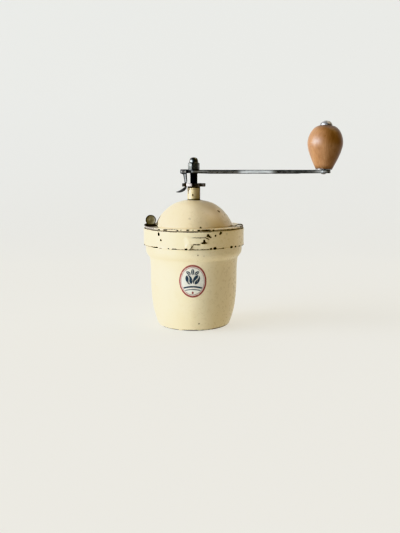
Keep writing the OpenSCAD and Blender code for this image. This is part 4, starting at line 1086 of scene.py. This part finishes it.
def shell(R, t, z_low, a0, a1, cap_r, hole_r, step=2, rows=52, cap_rows=7, flat=0.0):
    c = 88.2
    th0, th1 = math.asin(hole_r / R), math.asin(cap_r / R)
    th2 = math.acos((z_low - c) / R)
    thetas = [th0 + (th1 - th0) * i / cap_rows for i in range(cap_rows)] + [th1 + (th2 - th1) * i / rows for i in range(rows + 1)]
    cols = 360 // step
    used, verts, faces = {}, [], []

    def vid(i, j, side):
        i %= cols
        key = (i, j, side)
        if key not in used:
            rr = R if side == 0 else R - t
            th, a = thetas[j], math.radians(i * step)
            used[key] = len(verts)
            x, y, z = rr * math.sin(th) * math.cos(a), rr * math.sin(th) * math.sin(a), c + rr * math.cos(th)
            # the top is pressed a little flatter round the neck, and most on the right
            k = 1 - sstep(9.0, 22.0, R * math.sin(th))
            k2 = sstep(0.2, 0.8, math.cos(a)) * (1 - sstep(20.0, 29.0, R * math.sin(th)))
            verts.append((x, y, z - flat * (k + 0.12 * k2 * (1 - 0.6 * k))))
        return used[key]

    def has(i, j):
        if j < 0 or j >= len(thetas) - 1:
            return False
        if j < cap_rows:
            return True
        d = (i % cols) * step
        return any(a0 <= d + s < a1 for s in (-360, 0, 360))

    for j in range(len(thetas) - 1):
        for i in range(cols):
            if not has(i, j):
                continue
            faces.append([vid(i, j, 0), vid(i, j + 1, 0), vid(i + 1, j + 1, 0), vid(i + 1, j, 0)])
            faces.append([vid(i, j, 1), vid(i + 1, j, 1), vid(i + 1, j + 1, 1), vid(i, j + 1, 1)])
            if not has(i, j - 1):
                faces.append([vid(i, j, 0), vid(i + 1, j, 0), vid(i + 1, j, 1), vid(i, j, 1)])
            if not has(i, j + 1):
                faces.append([vid(i, j + 1, 0), vid(i, j + 1, 1), vid(i + 1, j + 1, 1), vid(i + 1, j + 1, 0)])
            if not has(i - 1, j):
                faces.append([vid(i, j, 0), vid(i, j, 1), vid(i, j + 1, 1), vid(i, j + 1, 0)])
            if not has(i + 1, j):
                faces.append([vid(i + 1, j, 0), vid(i + 1, j + 1, 0), vid(i + 1, j + 1, 1), vid(i + 1, j, 1)])
    return verts, faces


def ear(a0, a1, n=16, mid=None):
    """A strip over the ledge whose end is curled over the bead."""
    mid = mid or [(39.9, 104.75), (43, 104.75), (46, 104.76), (48.0, 104.78)] + arc(50.2, 103.2, 1.85, 118, -20, 16)
    left, right = [], []
    for i, q in enumerate(mid):
        a, b = mid[max(0, i - 1)], mid[min(len(mid) - 1, i + 1)]
        d = Vector((b[0] - a[0], b[1] - a[1])).normalized()
        nrm = Vector((-d.y, d.x)) * 0.35
        left.append((q[0] + nrm.x, q[1] + nrm.y))
        right.append((q[0] - nrm.x, q[1] - nrm.y))
    prof = left + list(reversed(right))
    return lathe(prof, angles=[a0 + (a1 - a0) * i / n for i in range(n + 1)])


v, f = shell(42.3, 0.8, 104.3, -14, 197, 12.5, 6.57, flat=0.65)
rear = piece("rear_shell", v, f, rear_mat, "head", "cream_enamel", ["rear_dome"], sharp=40, bevel=0.22)
tabs = []
for a in (40, 95, 150):
    m = plate_mesh("tab", [rounded([(34.4, -4), (39.3, -4), (39.3, 4), (34.4, 4)], [1.4, 0.2, 0.2, 1.4], 4)], 104.0, 104.8, 0.15)
    m.transform(Matrix.Rotation(math.radians(a), 4, "Z"))
    tabs.append(m)
bm = bmesh.new()
for m in tabs:
    bm.from_mesh(m)
me = bpy.data.meshes.new("shell_tabs")
bm.to_mesh(me)
bm.free()
keep("rear_shell_tabs", me, rear_mat, "head", sharp=50)

v, f = shell(43.6, 0.8, 104.12, 190, 363, 13.5, 6.9, step=1, flat=0.9)
hatch = piece("hatch", v, f, hatch_mat, "hatch", "cream_enamel", ["front_hatch"], sharp=40, bevel=0.22)
v, f = ear(173, 201, 28, [(39.9, 104.75), (43, 104.75), (46, 104.76), (48.0, 104.78)] + arc(50.2, 103.2, 1.85, 118, 40, 9))
piece("hatch_ear_left", v, f, ear_left_mat, "hatch", "cream_enamel", sharp=50, bevel=0.14)
v, f = ear(-17.5, -13.0, 12, [(39.9, 104.40), (43.4, 104.40), (44.4, 104.55), (45.6, 105.05), (47.2, 105.75), (48.4, 106.0)] + arc(49.55, 104.0, 2.1, 96, -26, 18))
piece("hatch_ear_right", v, f, ear_right_mat, "hatch", "cream_enamel", sharp=50, bevel=0.14)
tab = [(-4, 104.7), (4, 104.7)] + arc(0, 109.3, 4, 0, 180, 24)
me = plate_mesh("tab", [[(x, z) for x, z in tab]], -0.4, 0.4, 0.18)
me.transform(Matrix.Translation((-44.9 * MM, 1.1 * MM, 0)) @ Matrix.Rotation(math.radians(90), 4, "X"))
keep("hatch_tab", me, ear_left_mat, "hatch", sharp=50)

# ------------------------------------------------------------------ neck, washer

v, f = lathe(rounded([(5.42, 127.9), (9, 127.9), (9, 128.7), (6.55, 128.7), (6.55, 143.2), (5.42, 143.2)], [0.1, 0.3, 0.3, 0.5, 0.4, 0.2], 5), 96)
piece("neck", v, f, neck_mat, "head", "cream_enamel", ["neck_tube"], sharp=50)
v, f = lathe(rounded([(4.1, 143.28), (6.4, 143.28), (6.4, 143.95), (4.1, 143.95)], 0.2, 3), 72)
piece("washer", v, f, dark_mat, "crank", "worn_steel", ["thrust_washer"], sharp=50)

# ------------------------------------------------------------------ shaft with a true thread


def threaded(z0, z1, r, depth, pitch, per=0.1, cols=72, lead_in=1.2):
    rows = int((z1 - z0) / per)
    out = []
    for j in range(rows + 1):
        z = z0 + (z1 - z0) * j / rows
        k = min(1, (z - z0) / lead_in, (z1 - z) / lead_in)
        ring_ = []
        for i in range(cols):
            ph = (z / pitch - i / cols) % 1
            tri = abs(2 * ph - 1)
            cut = depth * max(0, min(1, (1.12 * tri - 0.06))) * max(k, 0)
            ring_.append(r - cut)
        out.append((z, ring_))
    return out


def shaft_mesh():
    cols = 72
    rows = [(58.0, [3.0] * cols), (58.5, [3.5] * cols), (66.8, [3.5] * cols), (66.9, [4.0] * cols), (80, [4.0] * cols), (95, [4.0] * cols), (110, [4.0] * cols), (125, [4.0] * cols), (143.0, [4.0] * cols)]
    rows += threaded(144.2, 157.5, 4.0, 0.62, 1.25, cols=cols)
    rows += [(157.55, [3.4] * cols), (158, [2.95] * cols), (161.2, [2.95] * cols), (167.5, [2.95] * cols), (168.6, [2.6] * cols)]
    verts = [(0, 0, rows[0][0])]
    for z, rr in rows:
        verts += [(rr[i] * math.cos(TAU * i / cols), rr[i] * math.sin(TAU * i / cols), z) for i in range(cols)]
    verts.append((0, 0, rows[-1][0]))
    faces = []
    for i in range(cols):
        faces.append([0, 1 + (i + 1) % cols, 1 + i])
        e = 1 + (len(rows) - 1) * cols
        faces.append([len(verts) - 1, e + i, e + (i + 1) % cols])
    for j in range(len(rows) - 1):
        a, b = 1 + j * cols, 1 + (j + 1) * cols
        for i in range(cols):
            k = (i + 1) % cols
            faces.append([a + i, a + k, b + k, b + i])
    return verts, faces


v, f = shaft_mesh()
piece("shaft", v, f, shaft_mat, "crank", "dark_steel", ["main_shaft"], sharp=60)

# ------------------------------------------------------------------ adjusting nut


def star_outline(r=12.2, rs=7.6, h=1.7, n=8):
    out = []
    d = math.degrees(math.asin(h / r))
    for k in range(n):
        a = 360 / n * k
        m = Matrix.Rotation(math.radians(a), 2)
        notch = [(r * math.cos(math.radians(-d)), -h)] + [(rs + h * math.cos(math.radians(q)), h * math.sin(math.radians(q))) for q in range(-90, -271, -15)] + [(r * math.cos(math.radians(d)), h)]
        notch = rounded([notch[0]] + notch[1:-1] + [notch[-1]], 0.0)
        out += [tuple(m @ Vector(q)) for q in notch]
        a1 = a + 360 / n
        out += arc(0, 0, r, a + d + 1.6, a1 - d - 1.6, 10)
    return out


circle = [(4.03 * math.cos(TAU * i / 48), 4.03 * math.sin(TAU * i / 48)) for i in range(48)]
me = plate_mesh("star", [star_outline(), circle], 143.98, 147.25, 0.34, 3)
keep("star_nut", me, nut_mat, "crank", ["adjusting_nut"], sharp=40)

# ------------------------------------------------------------------ crank arm


def arm_outline():
    hub = arc(0, 0, 7.6, 206.6, 306.1, 26)
    end = arc(133.8, 0, 6.9, 240.4, 479.6, 48)
    up = [(x, -y) for x, y in reversed(hub)]
    low = [(-12.7, -3.4)] + hub + [(20, -5.95), (60, -5.43), (100, -4.92), (109.8, -4.8), (116, -5.0), (122, -5.4), (127, -5.8)]
    high = [(127, 5.8), (122, 5.4), (116, 5.0), (109.8, 4.8), (100, 4.92), (60, 5.43), (20, 5.95)]
    return low + end + high + up + [(-12.7, 3.4)]


me = plate_mesh("arm", [dense(arm_outline(), 3.0)], 157.6, 161.0, 0.62, 4)
for q in me.vertices:
    x, z = q.co.x / MM, q.co.z / MM
    if x < -11:
        k = math.sqrt(max(0, 1 - ((-11 - x) / 1.7) ** 2))
        q.co.z = (159.3 + (z - 159.3) * k) * MM
    elif x > 9:
        k = sstep(12.0, 17.0, x) * (1 - sstep(107.0, 112.0, x))
        q.co.z = (159.25 + (z - 159.3) * (1 + 0.17 * k) - 0.27 * k) * MM
keep("arm", me, arm_mat, "crank", ["crank_arm"], sharp=40)

# ------------------------------------------------------------------ acorn nut


def acorn_mesh():
    z0, cols = 161.5, 240
    side = rounded([(0.001, z0), (5.5, z0), (6.05, z0 + 0.5), (6.05, z0 + 5.9), (4.95, z0 + 6.9), (4.56, z0 + 7.15)], [0, 0.4, 0.3, 0.4, 0.3, 0], 3, closed=False)
    dome_ = bez((4.52, z0 + 7.2), (4.62, z0 + 10.9), (3.2, z0 + 12.25), (0, z0 + 12.3), 26)
    prof = dense(side, 0.25, closed=False) + dome_
    verts, ring_ = [], []
    af = 5.5
    for r, z in prof:
        if r < 0.01:
            ring_.append([len(verts)] * cols)
            verts.append((0, 0, z))
            continue
        row = []
        for i in range(cols):
            a = TAU * i / cols
            am = (a + math.radians(22) + PI / 6) % (PI / 3) - PI / 6
            hexr = af / math.cos(am)
            k = 0.16
            rr = r
            if z < z0 + 7.16:
                h = max(0.0, k - abs(r - hexr)) / k
                rr = min(r, hexr) - h * h * k * 0.25
            row.append(len(verts))
            verts.append((rr * math.cos(a), rr * math.sin(a), z))
        ring_.append(row)
    faces = []
    for j in range(len(prof) - 1):
        for i in range(cols):
            k = (i + 1) % cols
            q = []
            for x in (ring_[j][i], ring_[j][k], ring_[j + 1][k], ring_[j + 1][i]):
                if x not in q:
                    q.append(x)
            if len(q) > 2:
                faces.append(q)
    return verts, faces


v, f = acorn_mesh()
piece("cap_nut", v, f, acorn_mat, "crank", "polished_steel", ["acorn_nut"], sharp=28)

# ------------------------------------------------------------------ knob

SP = Matrix.Translation((133.8, 0, 161.0)) @ Matrix.Rotation(math.radians(1.4), 4, "Y")

rivet = [(0, -4.7), (1.2, -4.62), (2.2, -4.3), (2.65, -3.75), (2.6, -3.5), (1.9, -3.45), (1.9, 0.1), (3, 0.1), (3, 44.9), (5.6, 44.9)] + rounded([(5.6, 44.9), (6.25, 44.9), (6.2, 45.7)], [0, 0.25, 0], 3, closed=False)[1:] \
    + bez((6.1, 45.75), (5.5, 47.5), (3.6, 49.3), (0, 49.45), 18)
piece("knob_pin", *moved(lathe(rivet, 72, closed=False), SP), cap_mat, "crank", "polished_steel", ["knob_spindle"], sharp=45)
piece("knob_foot_washer", *moved(lathe(rounded([(3.1, 0.25), (8.6, 0.25), (8.6, 0.85), (3.1, 0.85)], 0.18, 3), 72), SP), dark_mat, "crank", "dark_steel", ["knob_washer"], sharp=50)

knob_prof = ([(3.92, 1.25), (4.1, 1.03), (5, 1.0), (8.2, 1.0), (8.62, 1.1), (8.82, 1.35)]
             + [(r, z + 1) for r, z in bez((8.9, 0.6), (12.0, 6.54), (17.95, 18.66), (17.95, 25.6), 40)]
             + [(r, z + 1) for r, z in bez((17.95, 26.16), (17.95, 32.7), (13.9, 42.6), (6.4, 43.5), 44)]
             + [(5.6, 44.62), (4.3, 44.62), (3.92, 44.4)])
v, f = lathe(knob_prof, 200)
w = []
for x, y, z in v:
    r = math.hypot(x, y)
    if r > 6:
        d = 0.05 * noise.noise(Vector((x, y, z)) * 0.09) - 0.05
        for c, rad_, dep in (((-8.0, -16.0, 20.0), 4.0, 0.12), ((12.0, -13.0, 33.0), 3.5, 0.14), ((15.5, 6.0, 16.0), 4.0, 0.12)):
            q = math.dist((x, y, z), c) / rad_
            if q < 1:
                d -= dep * (1 - q * q) ** 2
        x, y = x * (r + d) / r, y * (r + d) / r
    w.append((x, y, z))
piece("knob_wood", *moved((w, f), SP), wood_mat, "knob", "turned_wood", ["wooden_knob"], sharp=50)

# ------------------------------------------------------------------ thumb disc

disc_prof = [(0, 0.0), (4.8, 0.0), (5.2, 0.1), (5.38, 0.35), (5.4, 0.8), (5.4, 1.40), (5.28, 1.62), (5.05, 1.70), (4.75, 1.64), (4.5, 1.50), (4.25, 1.36), (3.8, 1.22), (3.0, 1.12), (2.2, 1.08), (0, 1.06)]
v, f = lathe(disc_prof, 120, closed=False)
m = Matrix.Translation((-44.9, 0.68, 109.3)) @ Matrix.Rotation(math.radians(90), 4, "X")
v, f = moved((v, f), m)
v = [(x, y, max(z, 105.17)) for x, y, z in v]
piece("thumb_plate", v, f, disc_mat, "hatch", "aged_brass", ["thumb_disc"], sharp=50)

# ------------------------------------------------------------------ CAD nodes that stay

looks = {
    "bayonet_studs": steel_mat, "hopper_funnel": tin_mat, "dome_rivets": steel_mat, "upper_bush": brass_mat, "outer_burr": iron_mat,
    "lower_bridge": tin_mat, "lower_bush": brass_mat, "bridge_screws": dark_mat, "disc_rivet": disc_mat, "inner_burr": iron_mat,
    "burr_pin": steel_mat, "shaft_spring": steel_mat, "spring_seats": steel_mat, "spring_pin": steel_mat, "pawl_pin": steel_mat,
    "pawl_spring": spring_mat, "pawl_lever": lever_mat, "knob_liner": brass_mat,
}
for node, mat in looks.items():
    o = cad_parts[node]
    for s in o.material_slots:
        s.material = mat
for node, wdt in {"pawl_lever": 0.16, "pawl_pin": 0.1, "outer_burr": 0.12, "inner_burr": 0.12, "lower_bridge": 0.2}.items():
    soften(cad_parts[node], wdt, 2)

# ------------------------------------------------------------------ stage


def pale(name, col, rough, glow):
    """Dull white paper that glows a little, so that it stays even."""
    t = Tree(name)
    n1 = t.noise(t.p, 0.004, 3, 0.5)
    c = t.mix(t.ramp(n1, 0.3, 0.7), col, tuple(q * 0.985 for q in col))
    t.b.inputs["Emission Color"].default_value = (*glow, 1)
    t.b.inputs["Emission Strength"].default_value = 1.0
    return t.set(base=c, rough=rough, normal=t.bump(t.noise(t.p, 0.6, 2, 0.5), 0.02, 0.5))


stage_mat = pale("stage_paper", (0.30, 0.30, 0.295), 0.8, (0.60, 0.585, 0.530))
prof = [(-3.0, 0.0), (0.40, 0.0)] + [(0.40 + 0.35 * math.sin(math.radians(a)), 0.35 - 0.35 * math.cos(math.radians(a))) for a in range(6, 90, 6)] + [(0.75, 0.35), (0.75, 3.2)]
verts = [(x, y, z) for x in (-4.0, 4.0) for y, z in prof]
n = len(prof)
faces = [[i, i + 1, n + i + 1, n + i] for i in range(n - 1)]
me = bpy.data.meshes.new("stage_sweep")
me.from_pydata(verts, [], faces)
for q in me.polygons:
    q.use_smooth = True
me.materials.append(stage_mat)
sweep = bpy.data.objects.new("stage_sweep", me)
bpy.context.scene.collection.objects.link(sweep)

# ------------------------------------------------------------------ light


world = bpy.data.worlds.new("room")
bpy.context.scene.world = world
world.use_nodes = True
wt = world.node_tree
wt.nodes.clear()
wo = wt.nodes.new("ShaderNodeOutputWorld")
tc = wt.nodes.new("ShaderNodeTexCoord")
sx = wt.nodes.new("ShaderNodeSeparateXYZ")
wt.links.new(tc.outputs["Generated"], sx.inputs[0])


def wmath(op, a, b=None, clamp=False):
    n = wt.nodes.new("ShaderNodeMath")
    n.operation = op
    n.use_clamp = clamp
    for i, q in enumerate((a, b)):
        if isinstance(q, bpy.types.NodeSocket):
            wt.links.new(q, n.inputs[i])
        elif q is not None:
            n.inputs[i].default_value = q
    return n.outputs[0]


round_ = wmath("MULTIPLY", wmath("ARCTAN2", sx.outputs[0], wmath("MULTIPLY", sx.outputs[1], -1.0)), 180 / PI)
height = wmath("MULTIPLY", wmath("ARCSINE", sx.outputs[2]), 180 / PI)

# Soft windows of the room: (direction round from the front, height, half widths in degrees, light). Left is negative.
windows = [(-90, 5, 30, 25, (34.5, 36.4, 38.4)), (-60, 5, 30, 25, (14.2, 16.5, 19.4)), (-120, 5, 30, 25, (5.3, 5.4, 5.6)), (-60, 30, 30, 25, (0.2, 0.4, 1.1)),
           (120, 55, 30, 25, (13.4, 12.6, 11.5)), (90, 55, 30, 25, (3.5, 2.2, 0.5))]
total = None
for a_, e_, wa, we, colour in windows:
    ha = wmath("SUBTRACT", 1.0, wmath("DIVIDE", wmath("ABSOLUTE", wmath("SUBTRACT", round_, a_)), wa), clamp=True)
    he = wmath("SUBTRACT", 1.0, wmath("DIVIDE", wmath("ABSOLUTE", wmath("SUBTRACT", height, e_)), we), clamp=True)
    sc_ = wt.nodes.new("ShaderNodeVectorMath")
    sc_.operation = "SCALE"
    sc_.inputs[0].default_value = colour
    wt.links.new(wmath("MULTIPLY", ha, he), sc_.inputs["Scale"])
    if total is None:
        total = sc_.outputs[0]
    else:
        ad = wt.nodes.new("ShaderNodeVectorMath")
        ad.operation = "ADD"
        wt.links.new(total, ad.inputs[0])
        wt.links.new(sc_.outputs[0], ad.inputs[1])
        total = ad.outputs[0]
bg = wt.nodes.new("ShaderNodeBackground")
wt.links.new(total, bg.inputs["Color"])
bg.inputs["Strength"].default_value = 1.0
# beyond the paper's edge the room is seen as pale as the paper
seen = wt.nodes.new("ShaderNodeBackground")
seen.inputs["Color"].default_value = (0.90, 0.885, 0.83, 1)
lp = wt.nodes.new("ShaderNodeLightPath")
ms = wt.nodes.new("ShaderNodeMixShader")
wt.links.new(lp.outputs["Is Camera Ray"], ms.inputs[0])
wt.links.new(bg.outputs[0], ms.inputs[1])
wt.links.new(seen.outputs[0], ms.inputs[2])
wt.links.new(ms.outputs[0], wo.inputs[0])

# ------------------------------------------------------------------ camera, at the photograph's viewpoint

cd = bpy.data.cameras.new("camera")
cd.sensor_width = 36.0
cd.lens = 36.0 * 600.0 / 533.0
cd.clip_start = 0.01
cd.clip_end = 50
cam = bpy.data.objects.new("camera", cd)
bpy.context.scene.collection.objects.link(cam)
cam.location = (0.006386, -0.62570, 0.15931)
cam.rotation_euler = (math.radians(81.0), 0, 0)
bpy.context.scene.camera = cam
bpy.context.scene.view_settings.view_transform = "Khronos PBR Neutral"
